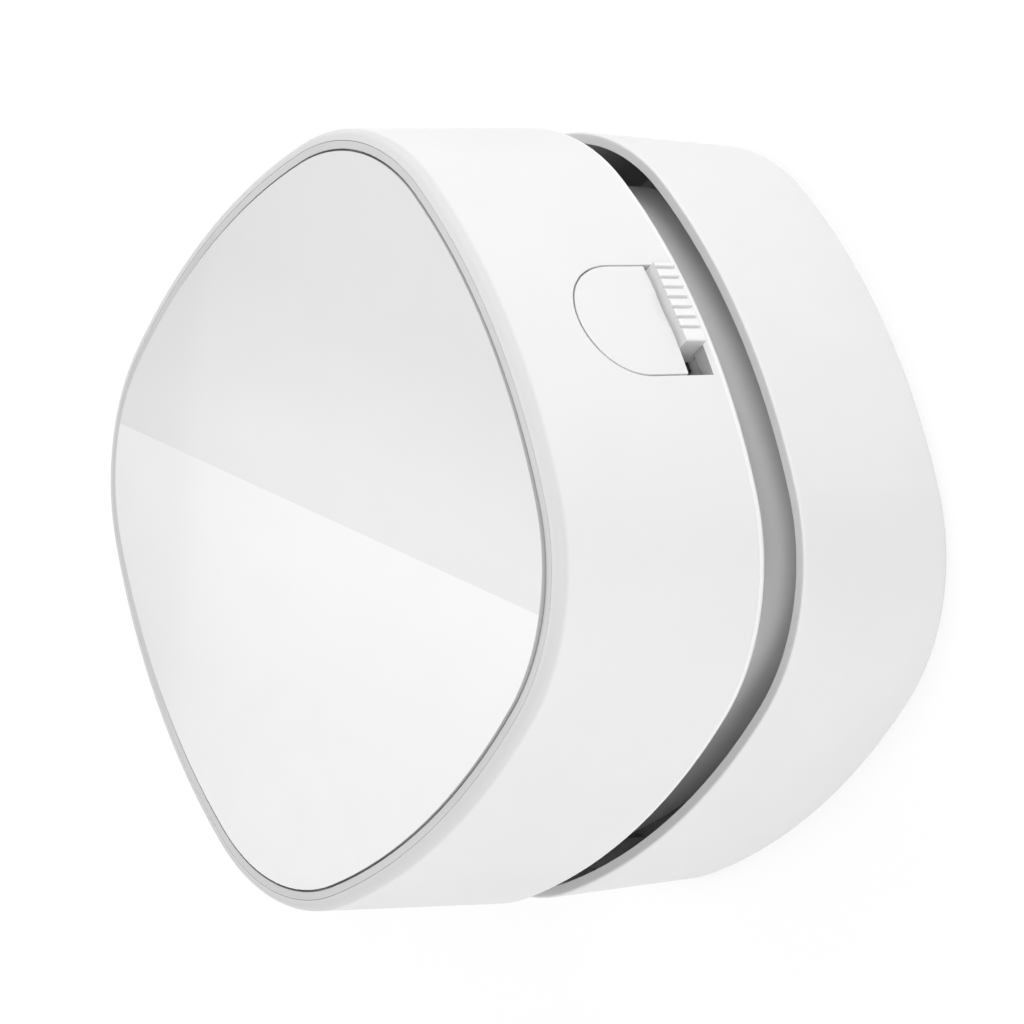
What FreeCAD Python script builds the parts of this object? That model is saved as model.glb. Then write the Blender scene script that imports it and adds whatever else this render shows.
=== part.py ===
import FreeCAD, Part
import math
import os

from FreeCAD import Vector

# Desktop mini vacuum cleaner, in millimetres, standing on its feet: +Z up, the slide switch on the -Y flat.
# The plan outline is a rounded square with bowed sides on the axes and its corners on the diagonals.

# Plan outline at the lower rim of the upper housing
HALF_FLAT = 40.0
SIDE_RADIUS = 75.6
CORNER_RADIUS = 24.7

# Heights of the main shells
FOOT_PROUD = 1.5
BASE_HEIGHT = 21.5
AIR_GAP = 4.9
HOUSING_HEIGHT = 27.0

# Upper housing
HOUSING_WALL = 1.8
HOUSING_DRAFT = 1.1
HOUSING_TOP_ROUND = 1.2
HOUSING_RIM_ROUND = 1.4
CEILING_WALL = 1.6
BOSS_RADIUS = 2.8
BOSS_FROM_NECK = 4.3
BOSS_PILOT_RADIUS = 0.9
BOSS_PILOT_DEPTH = 8.0

# Trim ring and top panel, set in a pocket in the housing's top
TOP_POCKET_DEPTH = 1.6
TRIM_WIDTH = 0.85
TRIM_CLEARANCE = 0.05
PANEL_SEAM = 0.25
PANEL_PROUD = 0.4
PANEL_FOLD_DROP = 0.35
PANEL_FOLD_ANGLE = 43.0
PANEL_FOLD_SHIFT = 1.2

# Thumb plate above the slide switch
PLATE_WIDTH = 14.0
PLATE_STRAIGHT = 4.85
PLATE_THICKNESS = 0.9
PLATE_SEAM = 0.22
DIP_RADIUS = 26.0
DIP_DEPTH = 0.45
DIP_BELOW_EDGE = 1.6

# Slide switch slot and knob
SLOT_ABOVE_RIM = 2.2
SLOT_HEIGHT = 3.05
KNOB_CLEARANCE = 0.15
KNOB_END_GAP = 0.6
KNOB_LENGTH = 9.9
KNOB_PROUD = 0.9
KNOB_EDGE_ROUND = 0.2
KNOB_GROOVES = 7
GROOVE_START = 0.7
GROOVE_PITCH = 1.26
GROOVE_WIDTH = 0.45
GROOVE_DEPTH = 0.35
KNOB_TRAVEL = 3.0
CARRIER_THICKNESS = 1.2
CARRIER_RISE = 1.4
NUB_WIDTH = 1.5
NUB_DEPTH = 0.9
NUB_HEIGHT = 1.6
SLOT_DRAFT_SHARE = 0.15
SWITCH_LENGTH = 9.0
SWITCH_DEPTH = 3.6
SWITCH_HEIGHT = 3.6
SWITCH_BOARD_WIDTH = 18.0
SWITCH_BOARD_HEIGHT = 9.0
BOARD_THICKNESS = 1.0

# Chassis: plate under the housing, with the neck seen in the air gap
CHASSIS_RECESS = 0.2
CHASSIS_THICKNESS = 1.3
CHASSIS_CLEARANCE = 0.15
NECK_INSET = 6.0
NECK_WALL = 1.5
NECK_DEPTH = 13.8

# Motor, shaft and fan wheel
MOTOR_RADIUS = 12.2
MOTOR_HEIGHT = 12.3
MOTOR_BOSS_RADIUS = 3.1
MOTOR_BOSS_HEIGHT = 1.2
MOTOR_CAP_HEIGHT = 2.0
MOTOR_BEVEL = 0.6
TERMINAL_WIDTH = 2.0
TERMINAL_THICKNESS = 0.5
TERMINAL_SPREAD = 5.0
MOTOR_SCREW_SPREAD = 8.5
SHAFT_RADIUS = 1.0
SHAFT_CLEARANCE = 0.05
WHEEL_POST_GAP = 0.9
WHEEL_EYE_RADIUS = 8.0
WHEEL_HUB_RADIUS = 3.2
WHEEL_HUB_FLARE = 1.6
WHEEL_DISC_THICKNESS = 1.0
WHEEL_TOP_CLEARANCE = 1.0
WHEEL_COVER_CLEARANCE = 0.5
BLADE_COUNT = 11
BLADE_THICKNESS = 0.9
BLADE_INLET_ANGLE = 28.0
BLADE_OUTLET_ANGLE = 48.0

# Fan cover on its posts
COVER_THICKNESS = 1.2
COVER_EYE_RADIUS = 9.5
COVER_LIP_WIDTH = 1.2
COVER_LIP_HEIGHT = 0.8
POST_RADIUS = 1.9
POST_EDGE = 0.2

# Screws
SCREW_RADIUS = 0.85
SCREW_HEAD_RADIUS = 1.7
SCREW_HEAD_HEIGHT = 1.0
FLAT_HEAD_HEIGHT = 0.5
SCREW_CLEARANCE = 0.15

# Cell in its cradle
CELL_RADIUS = 7.2
CELL_LENGTH = 25.0
CELL_CAP_RADIUS = 3.0
CELL_CAP_HEIGHT = 1.0
CELL_FROM_FLAT = 15.5
CELL_CLEARANCE = 0.1
CRADLE_WIDTH = 12.0
CRADLE_FLOOR = 0.9
CRADLE_RISE = 5.0
CRADLE_END_WALL = 1.1
CRADLE_END_RISE = 10.0
CONTACT_THICKNESS = 0.4
CONTACT_WIDTH = 6.0
CONTACT_HEIGHT = 7.0

# Charging board and inlet on the back flat
CHARGE_BOARD_WIDTH = 18.0
CHARGE_BOARD_LENGTH = 15.0
CHARGE_BOARD_RISE = 2.2
BOARD_EDGE_GAP = 0.5
BOARD_POST_INSET = 2.7
CHIP_SIDE = 4.0
CHIP_HEIGHT = 1.4
COIL_RADIUS = 1.9
COIL_HEIGHT = 1.8
PART_EDGE_GAP = 1.0
INLET_WIDTH = 8.9
INLET_HEIGHT = 3.2
INLET_LENGTH = 7.3
INLET_SHEET = 0.35
INLET_HOLE_CLEARANCE = 0.3
INLET_SETBACK = 0.5
TONGUE_HALF = 0.35

# Leads between the cell, the boards and the motor
LEAD_RADIUS = 0.5
LEAD_BEND = 1.5
LEAD_GAP = 0.3
LEAD_DROP = 4.0
LEAD_CELL_RUN = 4.0
LEAD_PAD_Y = 7.0
LEAD_SPACING = 1.8
LEAD_CELL_SPACING = 3.5

# Filter that lifts out of the dust cup
FILTER_FLANGE = 2.0
FILTER_PLUG_DEPTH = 3.0
FILTER_PLUG_WALL = 1.4
FILTER_CLEARANCE = 0.3
FILTER_SPOKES = 6
SPOKE_WIDTH = 1.2
SPOKE_HEIGHT = 1.2
FILTER_HUB_RADIUS = 3.0
MESH_THICKNESS = 0.6
SEAL_THICKNESS = 1.0
SEAL_WIDTH = 3.6
SEAL_CLEARANCE = 0.15

# Dust cup and suction tube
CUP_RADIUS = 28.4
CUP_WALL = 1.2
CUP_HEIGHT = 12.4
CUP_FLOOR = 1.2
TUBE_BORE_RADIUS = 8.0
TUBE_WALL = 1.2
TUBE_HEIGHT = 9.0
TUBE_SLANT = 22.0
TUBE_FLANGE_WIDTH = 2.0
TUBE_FLANGE_THICKNESS = 0.8

# Base shell
BASE_WALL = 1.25
BASE_RIM_INSET = 0.2
BASE_FOOT_INSET = 0.95
BASE_FLOOR = 1.6
BASE_RIM_ROUND = 0.35
BASE_FOOT_ROUND = 0.8
RIB_WIDTH = 1.6
RIB_HEIGHT = 7.0
RIB_GAP = 0.6

# Bristles and feet under the base
BRUSH_RADIUS = 14.5
BRUSH_RING_WIDTH = 5.0
BRUSH_RING_THICKNESS = 0.9
TUFT_COUNT = 24
TUFT_RADIUS = 1.0
TUFT_TIP_GAP = 0.2
FOOT_RADIUS = 4.0
FOOT_SEAT = 0.6
FOOT_FROM_CORNER = 10.3
FOOT_BEVEL = 0.4

# Working values that follow from the sizes above
BASE_FOOT_Z = FOOT_PROUD
BASE_RIM_Z = BASE_FOOT_Z + BASE_HEIGHT
BASE_FLOOR_Z = BASE_FOOT_Z + BASE_FLOOR
HOUSING_RIM_Z = BASE_RIM_Z + AIR_GAP
HOUSING_TOP_Z = HOUSING_RIM_Z + HOUSING_HEIGHT
POCKET_Z = HOUSING_TOP_Z - TOP_POCKET_DEPTH
CEILING_Z = POCKET_Z - CEILING_WALL
CHASSIS_Z = HOUSING_RIM_Z + CHASSIS_RECESS
CHASSIS_TOP_Z = CHASSIS_Z + CHASSIS_THICKNESS
NECK_FOOT_Z = CHASSIS_Z - NECK_DEPTH
TRIM_INSET = HOUSING_DRAFT + HOUSING_TOP_ROUND
PANEL_INSET = TRIM_INSET + TRIM_CLEARANCE + TRIM_WIDTH + PANEL_SEAM
SLOT_FOOT_Z = HOUSING_RIM_Z + SLOT_ABOVE_RIM
SLOT_TOP_Z = SLOT_FOOT_Z + SLOT_HEIGHT
SWITCH_FACE_Y = -(HALF_FLAT - HOUSING_WALL - HOUSING_DRAFT * SLOT_DRAFT_SHARE)
CARRIER_FACE_Y = SWITCH_FACE_Y + KNOB_CLEARANCE
CARRIER_BACK_Y = CARRIER_FACE_Y + CARRIER_THICKNESS
SWITCH_FRONT_Y = CARRIER_BACK_Y + KNOB_CLEARANCE
SWITCH_BACK_Y = SWITCH_FRONT_Y + SWITCH_DEPTH
COVER_RADIUS = CUP_RADIUS
POST_PLACE_RADIUS = COVER_RADIUS - POST_EDGE - POST_RADIUS
WHEEL_RADIUS = POST_PLACE_RADIUS - POST_RADIUS - WHEEL_POST_GAP
CUP_TOP_Z = BASE_FLOOR_Z + CUP_HEIGHT
FLANGE_TOP_Z = CUP_TOP_Z + FILTER_FLANGE
SEAL_TOP_Z = FLANGE_TOP_Z + SEAL_THICKNESS
COVER_Z = SEAL_TOP_Z + SEAL_CLEARANCE
COVER_TOP_Z = COVER_Z + COVER_THICKNESS
WHEEL_TOP_Z = CHASSIS_Z - WHEEL_TOP_CLEARANCE
BLADE_TOP_Z = WHEEL_TOP_Z - WHEEL_DISC_THICKNESS
BLADE_FOOT_Z = COVER_TOP_Z + WHEEL_COVER_CLEARANCE
MOTOR_TOP_Z = CHASSIS_TOP_Z + MOTOR_HEIGHT
CELL_CENTRE_X = HALF_FLAT - CELL_FROM_FLAT
CELL_CENTRE_Z = CHASSIS_TOP_Z + CRADLE_FLOOR + CELL_RADIUS + CELL_CLEARANCE
BOARD_Z = CHASSIS_TOP_Z + CHARGE_BOARD_RISE
INLET_Z = BOARD_Z + BOARD_THICKNESS
INLET_OUTER_Y = HALF_FLAT - INLET_SETBACK
BOARD_OUTER_Y = HALF_FLAT - HOUSING_WALL - HOUSING_DRAFT - BOARD_EDGE_GAP
QUARTERS = (0.0, 90.0, 180.0, 270.0)
DIAGONALS = (45.0, 135.0, 225.0, 315.0)
NEAR = 1e-4
UP = Vector(0, 0, 1)


def corner_centre():
    """Distance of a corner arc's centre along its diagonal, so that it is tangent to both side arcs."""
    side_offset = SIDE_RADIUS - HALF_FLAT
    between = SIDE_RADIUS - CORNER_RADIUS
    return (math.sqrt(4.0 * between ** 2 - 2.0 * side_offset ** 2) - math.sqrt(2.0) * side_offset) / 2.0


def corner_reach(inset):
    """Distance from the axis to the outline at a corner, at an inset."""
    return corner_centre() + CORNER_RADIUS - inset


def boss_diagonal():
    """Distance of the chassis screws from the axis, inside the neck's corners."""
    return corner_reach(NECK_INSET + NECK_WALL) - BOSS_FROM_NECK


def foot_diagonal():
    """Distance of the feet from the axis, inside the outline's corners."""
    return corner_reach(0.0) - FOOT_FROM_CORNER


def arc(centre, radius, start, end):
    """Arc in plan round a centre, between two angles in degrees."""
    angles = (start, (start + end) / 2.0, end)
    points = [
        Vector(
            centre.x + radius * math.cos(math.radians(angle)),
            centre.y + radius * math.sin(math.radians(angle)),
            centre.z,
        )
        for angle in angles
    ]
    return Part.Arc(*points).toShape()


def outline(inset, z):
    """Closed plan outline at a height: four bowed sides joined by four tangent corner arcs."""
    side_offset = SIDE_RADIUS - HALF_FLAT
    along = corner_centre() / math.sqrt(2.0)
    half_side = math.degrees(math.atan2(along, along + side_offset))
    edges = []
    for turn in QUARTERS:
        side = polar(-side_offset, turn, z)
        corner = polar(corner_centre(), turn + 45.0, z)
        edges.append(arc(side, SIDE_RADIUS - inset, turn - half_side, turn + half_side))
        edges.append(arc(corner, CORNER_RADIUS - inset, turn + half_side, turn + 90.0 - half_side))
    return Part.Wire(edges)


def polar(radius, angle, z=0.0):
    """Point at a radius and an angle in degrees about the axis."""
    return Vector(radius * math.cos(math.radians(angle)), radius * math.sin(math.radians(angle)), z)


def drafted(inset_low, z_low, inset_high, z_high):
    """Solid between two plan outlines at two heights."""
    return Part.makeLoft([outline(inset_low, z_low), outline(inset_high, z_high)], True, True)


def plug(inset, z_low, z_high):
    """Straight solid of the plan outline between two heights."""
    return Part.Face(outline(inset, z_low)).extrude(Vector(0, 0, z_high - z_low))


def cylinder(radius, z_low, z_high, place=Vector(0, 0, 0)):
    """Upright cylinder between two heights."""
    return Part.makeCylinder(radius, z_high - z_low, Vector(place.x, place.y, z_low))


def tube(outer, inner, z_low, z_high, place=Vector(0, 0, 0)):
    """Upright ring between two heights."""
    return cylinder(outer, z_low, z_high, place).cut(cylinder(inner, z_low, z_high, place))


def block(x_low, x_high, y_low, y_high, z_low, z_high):
    """Box between limits."""
    return Part.makeBox(x_high - x_low, y_high - y_low, z_high - z_low, Vector(x_low, y_low, z_low))


def fuse_all(shapes):
    """One solid out of several that touch."""
    return shapes[0].multiFuse(shapes[1:]).removeSplitter()


def edges_at(shape, z):
    """Edges of a shape that lie wholly at one height."""
    return [edge for edge in shape.Edges if all(abs(vertex.Z - z) < NEAR for vertex in edge.Vertexes)]


def housing_inset(z):
    """Inset of the housing's drafted side at a height."""
    return HOUSING_DRAFT * (z - HOUSING_RIM_Z) / HOUSING_HEIGHT


def housing_body():
    """Outer solid of the upper housing, drafted and with both rounds."""
    body = drafted(0.0, HOUSING_RIM_Z, HOUSING_DRAFT, HOUSING_TOP_Z)
    body = body.makeFillet(HOUSING_TOP_ROUND, edges_at(body, HOUSING_TOP_Z))
    return body.makeFillet(HOUSING_RIM_ROUND, edges_at(body, HOUSING_RIM_Z))


def arch(margin, y_outer, y_inner):
    """Arch shape of the thumb plate, seen from the front, less a margin all round."""
    half = PLATE_WIDTH / 2.0 - margin
    low = SLOT_TOP_Z + margin
    high = SLOT_TOP_Z + PLATE_STRAIGHT
    foot_left = Vector(-half, y_outer, low)
    foot_right = Vector(half, y_outer, low)
    shoulder_left = Vector(-half, y_outer, high)
    shoulder_right = Vector(half, y_outer, high)
    crown = Vector(0, y_outer, high + half)
    wire = Part.Wire(
        [
            Part.makeLine(foot_left, foot_right),
            Part.makeLine(foot_right, shoulder_right),
            Part.Arc(shoulder_right, crown, shoulder_left).toShape(),
            Part.makeLine(shoulder_left, foot_left),
        ]
    )
    return Part.Face(wire).extrude(Vector(0, y_inner - y_outer, 0))


def housing_core(depth):
    """Solid inside the housing's drafted side, at a depth below its surface."""
    return drafted(depth, HOUSING_RIM_Z, HOUSING_DRAFT + depth, HOUSING_TOP_Z)


def inlet_profile(extra, y_low, y_high):
    """Rounded slot of the charging inlet, run along Y."""
    half_height = INLET_HEIGHT / 2.0 + extra
    half_flat = INLET_WIDTH / 2.0 - INLET_HEIGHT / 2.0
    middle = INLET_Z + INLET_HEIGHT / 2.0
    body = block(-half_flat, half_flat, y_low, y_high, middle - half_height, middle + half_height)
    ends = []
    for side in (-1, 1):
        start = Vector(side * half_flat, y_low, middle)
        ends.append(Part.makeCylinder(half_height, y_high - y_low, start, Vector(0, 1, 0)))
    return fuse_all([body] + ends)


def upper_housing():
    """White upper shell: rounded outside, hollow from below, with screw bosses, slot and pockets."""
    cavity = drafted(
        HOUSING_WALL,
        HOUSING_RIM_Z,
        HOUSING_WALL + housing_inset(CEILING_Z),
        CEILING_Z,
    )
    shape = housing_body().cut(cavity)
    shape = shape.cut(plug(TRIM_INSET, POCKET_Z, HOUSING_TOP_Z))
    for angle in DIAGONALS:
        place = polar(boss_diagonal(), angle)
        shape = shape.fuse(cylinder(BOSS_RADIUS, CHASSIS_TOP_Z, CEILING_Z, place))
    for angle in DIAGONALS:
        place = polar(boss_diagonal(), angle)
        pilot_top = CHASSIS_TOP_Z + BOSS_PILOT_DEPTH
        shape = shape.cut(cylinder(BOSS_PILOT_RADIUS, CHASSIS_TOP_Z, pilot_top, place))
    half_slot = PLATE_WIDTH / 2.0
    slot = block(-half_slot, half_slot, -HALF_FLAT, SWITCH_FACE_Y + HOUSING_WALL, SLOT_FOOT_Z, SLOT_TOP_Z)
    shape = shape.cut(slot)
    shape = shape.cut(arch(0.0, -HALF_FLAT, CARRIER_BACK_Y).cut(housing_core(PLATE_THICKNESS)))
    shape = shape.cut(carrier_room())
    hole_depth = HALF_FLAT - HOUSING_WALL - HOUSING_DRAFT
    shape = shape.cut(inlet_profile(INLET_HOLE_CLEARANCE, hole_depth, HALF_FLAT))
    return shape.removeSplitter()


def carrier_room():
    """Flat room behind the wall that the knob's carrier slides in."""
    half = PLATE_WIDTH / 2.0 + KNOB_CLEARANCE
    top = SLOT_TOP_Z + CARRIER_RISE + KNOB_CLEARANCE
    return block(-half, half, SWITCH_FACE_Y, SWITCH_FACE_Y + HOUSING_WALL, CHASSIS_TOP_Z, top)


def trim_ring():
    """Light-grey ring between the housing's top edge and the panel."""
    outer = TRIM_INSET + TRIM_CLEARANCE
    ring = plug(outer, POCKET_Z, HOUSING_TOP_Z)
    return ring.cut(plug(outer + TRIM_WIDTH, POCKET_Z, HOUSING_TOP_Z))


def top_panel():
    """Face panel of two facets that meet in one straight fold, nearly from corner to corner."""
    reach = corner_reach(PANEL_INSET)
    crest = HOUSING_TOP_Z + PANEL_PROUD
    edge = crest - PANEL_FOLD_DROP
    across = polar(1.0, PANEL_FOLD_ANGLE + 90.0)
    along = polar(1.0, PANEL_FOLD_ANGLE)
    wide = reach + PANEL_SEAM + PANEL_FOLD_SHIFT
    start = along * (-wide) - across * PANEL_FOLD_SHIFT
    profile = [
        start - across * wide + UP * POCKET_Z,
        start + across * wide + UP * POCKET_Z,
        start + across * wide + UP * edge,
        start + UP * crest,
        start - across * wide + UP * edge,
    ]
    wedge = Part.Face(Part.makePolygon(profile + profile[:1])).extrude(along * (2.0 * wide))
    return plug(PANEL_INSET, POCKET_Z, crest + PANEL_PROUD).common(wedge)


def thumb_plate():
    """Arch-shaped plate that follows the bowed side, with a seam round it and a shallow dip for the thumb."""
    prism = arch(PLATE_SEAM, -HALF_FLAT, CARRIER_BACK_Y)
    skin = drafted(0.0, HOUSING_RIM_Z, HOUSING_DRAFT, HOUSING_TOP_Z).cut(housing_core(PLATE_THICKNESS))
    dip = Vector(knob_centre(), DIP_DEPTH - HALF_FLAT - DIP_RADIUS, SLOT_TOP_Z - DIP_BELOW_EDGE)
    return prism.common(skin).cut(Part.makeSphere(DIP_RADIUS, dip))


def knob_right():
    """End of the knob that is next to the slot's end at rest."""
    return PLATE_WIDTH / 2.0 - KNOB_END_GAP


def knob_left():
    """End of the knob that the open part of the slot begins at, at rest."""
    return knob_right() - KNOB_LENGTH


def knob_centre():
    """Middle of the knob and its carrier along the slot, at rest."""
    return (knob_left() + knob_right()) / 2.0


def slide_knob():
    """Grooved knob, and the carrier plate that holds it behind the wall."""
    face = -(HALF_FLAT + KNOB_PROUD)
    low = SLOT_FOOT_Z + KNOB_CLEARANCE
    high = SLOT_TOP_Z - KNOB_CLEARANCE
    knob = block(knob_left(), knob_right(), face, CARRIER_FACE_Y, low, high)
    face_edges = [edge for edge in knob.Edges if all(abs(vertex.Y - face) < NEAR for vertex in edge.Vertexes)]
    knob = knob.makeFillet(KNOB_EDGE_ROUND, face_edges)
    for number in range(KNOB_GROOVES):
        x = knob_right() - GROOVE_START - number * GROOVE_PITCH
        groove = block(x - GROOVE_WIDTH / 2.0, x + GROOVE_WIDTH / 2.0, face, face + GROOVE_DEPTH, low, high)
        knob = knob.cut(groove)
    foot = CHASSIS_TOP_Z + KNOB_CLEARANCE
    top = SLOT_TOP_Z + CARRIER_RISE
    carrier = block(knob_left(), knob_right(), CARRIER_FACE_Y, CARRIER_BACK_Y, foot, top)
    socket = nub_box(CARRIER_BACK_Y - NUB_DEPTH, CARRIER_BACK_Y)
    return knob.fuse(carrier).cut(socket).removeSplitter()


def nub_box(y_low, y_high):
    """Box of the sliding contact nub between two depths."""
    middle = (SLOT_FOOT_Z + SLOT_TOP_Z) / 2.0
    half_width = NUB_WIDTH / 2.0
    half_height = NUB_HEIGHT / 2.0
    x = knob_centre()
    return block(x - half_width, x + half_width, y_low, y_high, middle - half_height, middle + half_height)


def switch_nub():
    """Contact nub that the carrier takes with it."""
    return nub_box(CARRIER_BACK_Y - NUB_DEPTH, SWITCH_FRONT_Y + NUB_DEPTH)


def switch_middle():
    """Middle of the switch body along the slot, halfway through the travel."""
    return knob_centre() - KNOB_TRAVEL / 2.0


def switch_body():
    """Slide switch with the channel that its nub runs in."""
    middle = (SLOT_FOOT_Z + SLOT_TOP_Z) / 2.0
    x = switch_middle()
    half = SWITCH_LENGTH / 2.0
    low = max(middle - SWITCH_HEIGHT / 2.0, CHASSIS_TOP_Z + KNOB_CLEARANCE)
    body = block(x - half, x + half, SWITCH_FRONT_Y, SWITCH_BACK_Y, low, middle + SWITCH_HEIGHT / 2.0)
    channel_half = (NUB_WIDTH + KNOB_TRAVEL) / 2.0 + KNOB_CLEARANCE
    rise = NUB_HEIGHT / 2.0 + KNOB_CLEARANCE
    channel = block(
        x - channel_half,
        x + channel_half,
        SWITCH_FRONT_Y,
        SWITCH_FRONT_Y + NUB_DEPTH + KNOB_CLEARANCE,
        middle - rise,
        middle + rise,
    )
    return body.cut(channel)


def switch_board():
    """Upright board behind the switch, standing in the chassis."""
    x = switch_middle()
    half = SWITCH_BOARD_WIDTH / 2.0
    top = CHASSIS_TOP_Z + SWITCH_BOARD_HEIGHT
    return block(x - half, x + half, SWITCH_BACK_Y, SWITCH_BACK_Y + BOARD_THICKNESS, CHASSIS_TOP_Z, top)


def board_grooves():
    """Two upright posts with grooves that hold the ends of the switch board."""
    x = switch_middle()
    half = SWITCH_BOARD_WIDTH / 2.0
    y_low = SWITCH_BACK_Y - BOARD_THICKNESS
    y_high = SWITCH_BACK_Y + 2.0 * BOARD_THICKNESS
    top = CHASSIS_TOP_Z + SWITCH_BOARD_HEIGHT - BOARD_THICKNESS
    posts = []
    for side in (-1, 1):
        outer = x + side * (half + 1.5 * BOARD_THICKNESS)
        inner = x + side * (half - BOARD_THICKNESS)
        posts.append(block(min(outer, inner), max(outer, inner), y_low, y_high, CHASSIS_TOP_Z, top))
    return [post.cut(switch_board()) for post in posts]


def charge_board_posts():
    """Places of the two posts under the charging board."""
    x = CHARGE_BOARD_WIDTH / 2.0 - BOARD_POST_INSET
    y = BOARD_OUTER_Y - CHARGE_BOARD_LENGTH + BOARD_POST_INSET
    return [Vector(-x, y, 0), Vector(x, y, 0)]


def fan_chassis():
    """Chassis plate that closes the housing, with the neck skirt under it and posts on top."""
    inset = HOUSING_WALL + CHASSIS_CLEARANCE + housing_inset(CHASSIS_TOP_Z)
    plate = plug(inset, CHASSIS_Z, CHASSIS_TOP_Z)
    skirt = plug(NECK_INSET, NECK_FOOT_Z, CHASSIS_Z)
    skirt = skirt.cut(plug(NECK_INSET + NECK_WALL, NECK_FOOT_Z, CHASSIS_Z))
    parts = [plate, skirt] + board_grooves()
    for place in charge_board_posts():
        parts.append(cylinder(SCREW_HEAD_RADIUS, CHASSIS_TOP_Z, BOARD_Z, place))
    for angle in QUARTERS:
        place = polar(POST_PLACE_RADIUS, angle)
        parts.append(cylinder(POST_RADIUS, COVER_TOP_Z, CHASSIS_Z, place))
    shape = fuse_all(parts)
    shape = shape.cut(cylinder(MOTOR_BOSS_RADIUS + SHAFT_CLEARANCE, CHASSIS_Z, CHASSIS_TOP_Z))
    for side in (-1, 1):
        place = Vector(side * MOTOR_SCREW_SPREAD, 0, 0)
        shape = shape.cut(cylinder(SCREW_RADIUS + SCREW_CLEARANCE, CHASSIS_Z, CHASSIS_TOP_Z, place))
    for angle in DIAGONALS:
        place = polar(boss_diagonal(), angle)
        shape = shape.cut(cylinder(SCREW_RADIUS + SCREW_CLEARANCE, CHASSIS_Z, CHASSIS_TOP_Z, place))
    for angle in QUARTERS:
        place = polar(POST_PLACE_RADIUS, angle)
        shape = shape.cut(cylinder(SCREW_RADIUS, COVER_TOP_Z, CHASSIS_Z, place))
    for place in charge_board_posts():
        shape = shape.cut(cylinder(SCREW_RADIUS, CHASSIS_TOP_Z, BOARD_Z, place))
    return shape


def screw(place, head_z, tip_z, head_height):
    """Screw with a round head; its shank runs from under the head to the tip."""
    up = 1.0 if tip_z > head_z else -1.0
    head_low = min(head_z, head_z - up * head_height)
    head = cylinder(SCREW_HEAD_RADIUS, head_low, head_low + head_height, place)
    shank = cylinder(SCREW_RADIUS, min(head_z, tip_z), max(head_z, tip_z), place)
    return head.fuse(shank).removeSplitter()


def chassis_screws():
    """Screws that hold the chassis to the housing's bosses."""
    tip = CHASSIS_TOP_Z + BOSS_PILOT_DEPTH - SCREW_HEAD_HEIGHT
    places = [polar(boss_diagonal(), angle) for angle in DIAGONALS]
    return Part.makeCompound([screw(place, CHASSIS_Z, tip, SCREW_HEAD_HEIGHT) for place in places])


def motor_screws():
    """Two flat-headed screws that hold the motor from under the chassis plate."""
    tip = CHASSIS_TOP_Z + MOTOR_BOSS_HEIGHT
    places = [Vector(side * MOTOR_SCREW_SPREAD, 0, 0) for side in (-1, 1)]
    return Part.makeCompound([screw(place, CHASSIS_Z, tip, FLAT_HEAD_HEIGHT) for place in places])


def cover_screws():
    """Four flat-headed screws that hold the fan cover to the chassis posts."""
    tip = (COVER_TOP_Z + CHASSIS_Z) / 2.0
    head = COVER_Z + FLAT_HEAD_HEIGHT
    places = [polar(POST_PLACE_RADIUS, angle) for angle in QUARTERS]
    return Part.makeCompound([screw(place, head, tip, FLAT_HEAD_HEIGHT) for place in places])


def motor_can():
    """Flat round motor can with its front boss and two tapped holes."""
    can = cylinder(MOTOR_RADIUS, CHASSIS_TOP_Z, MOTOR_TOP_Z)
    can = can.makeChamfer(MOTOR_BEVEL, edges_at(can, MOTOR_TOP_Z))
    can = can.fuse(cylinder(MOTOR_BOSS_RADIUS, CHASSIS_TOP_Z - MOTOR_BOSS_HEIGHT, CHASSIS_TOP_Z))
    bore = SHAFT_RADIUS + SHAFT_CLEARANCE
    can = can.cut(cylinder(bore, CHASSIS_TOP_Z - MOTOR_BOSS_HEIGHT, MOTOR_TOP_Z))
    for side in (-1, 1):
        place = Vector(side * MOTOR_SCREW_SPREAD, 0, 0)
        can = can.cut(cylinder(SCREW_RADIUS, CHASSIS_TOP_Z, CHASSIS_TOP_Z + MOTOR_BOSS_HEIGHT, place))
    return can


def motor_end_cap():
    """End cap with the shaft's rear bearing and two brush terminals."""
    top = MOTOR_TOP_Z + MOTOR_CAP_HEIGHT
    cap = cylinder(MOTOR_RADIUS - 2.0 * MOTOR_BEVEL, MOTOR_TOP_Z, MOTOR_TOP_Z + MOTOR_CAP_HEIGHT / 2.0)
    cap = cap.fuse(cylinder(MOTOR_BOSS_RADIUS, MOTOR_TOP_Z, top))
    cap = cap.cut(cylinder(SHAFT_RADIUS + SHAFT_CLEARANCE, MOTOR_TOP_Z, MOTOR_TOP_Z + MOTOR_CAP_HEIGHT / 2.0))
    half_width = TERMINAL_WIDTH / 2.0
    half_sheet = TERMINAL_THICKNESS / 2.0
    tip = top + TERMINAL_WIDTH
    for side in (-1, 1):
        x = side * TERMINAL_SPREAD
        tab = block(x - half_width, x + half_width, -half_sheet, half_sheet, MOTOR_TOP_Z, tip)
        cap = cap.fuse(tab)
    return cap.removeSplitter()


def motor_shaft():
    """Shaft from the rear bearing down through the fan wheel's hub."""
    return cylinder(SHAFT_RADIUS, BLADE_FOOT_Z, MOTOR_TOP_Z + MOTOR_CAP_HEIGHT / 4.0)


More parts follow.
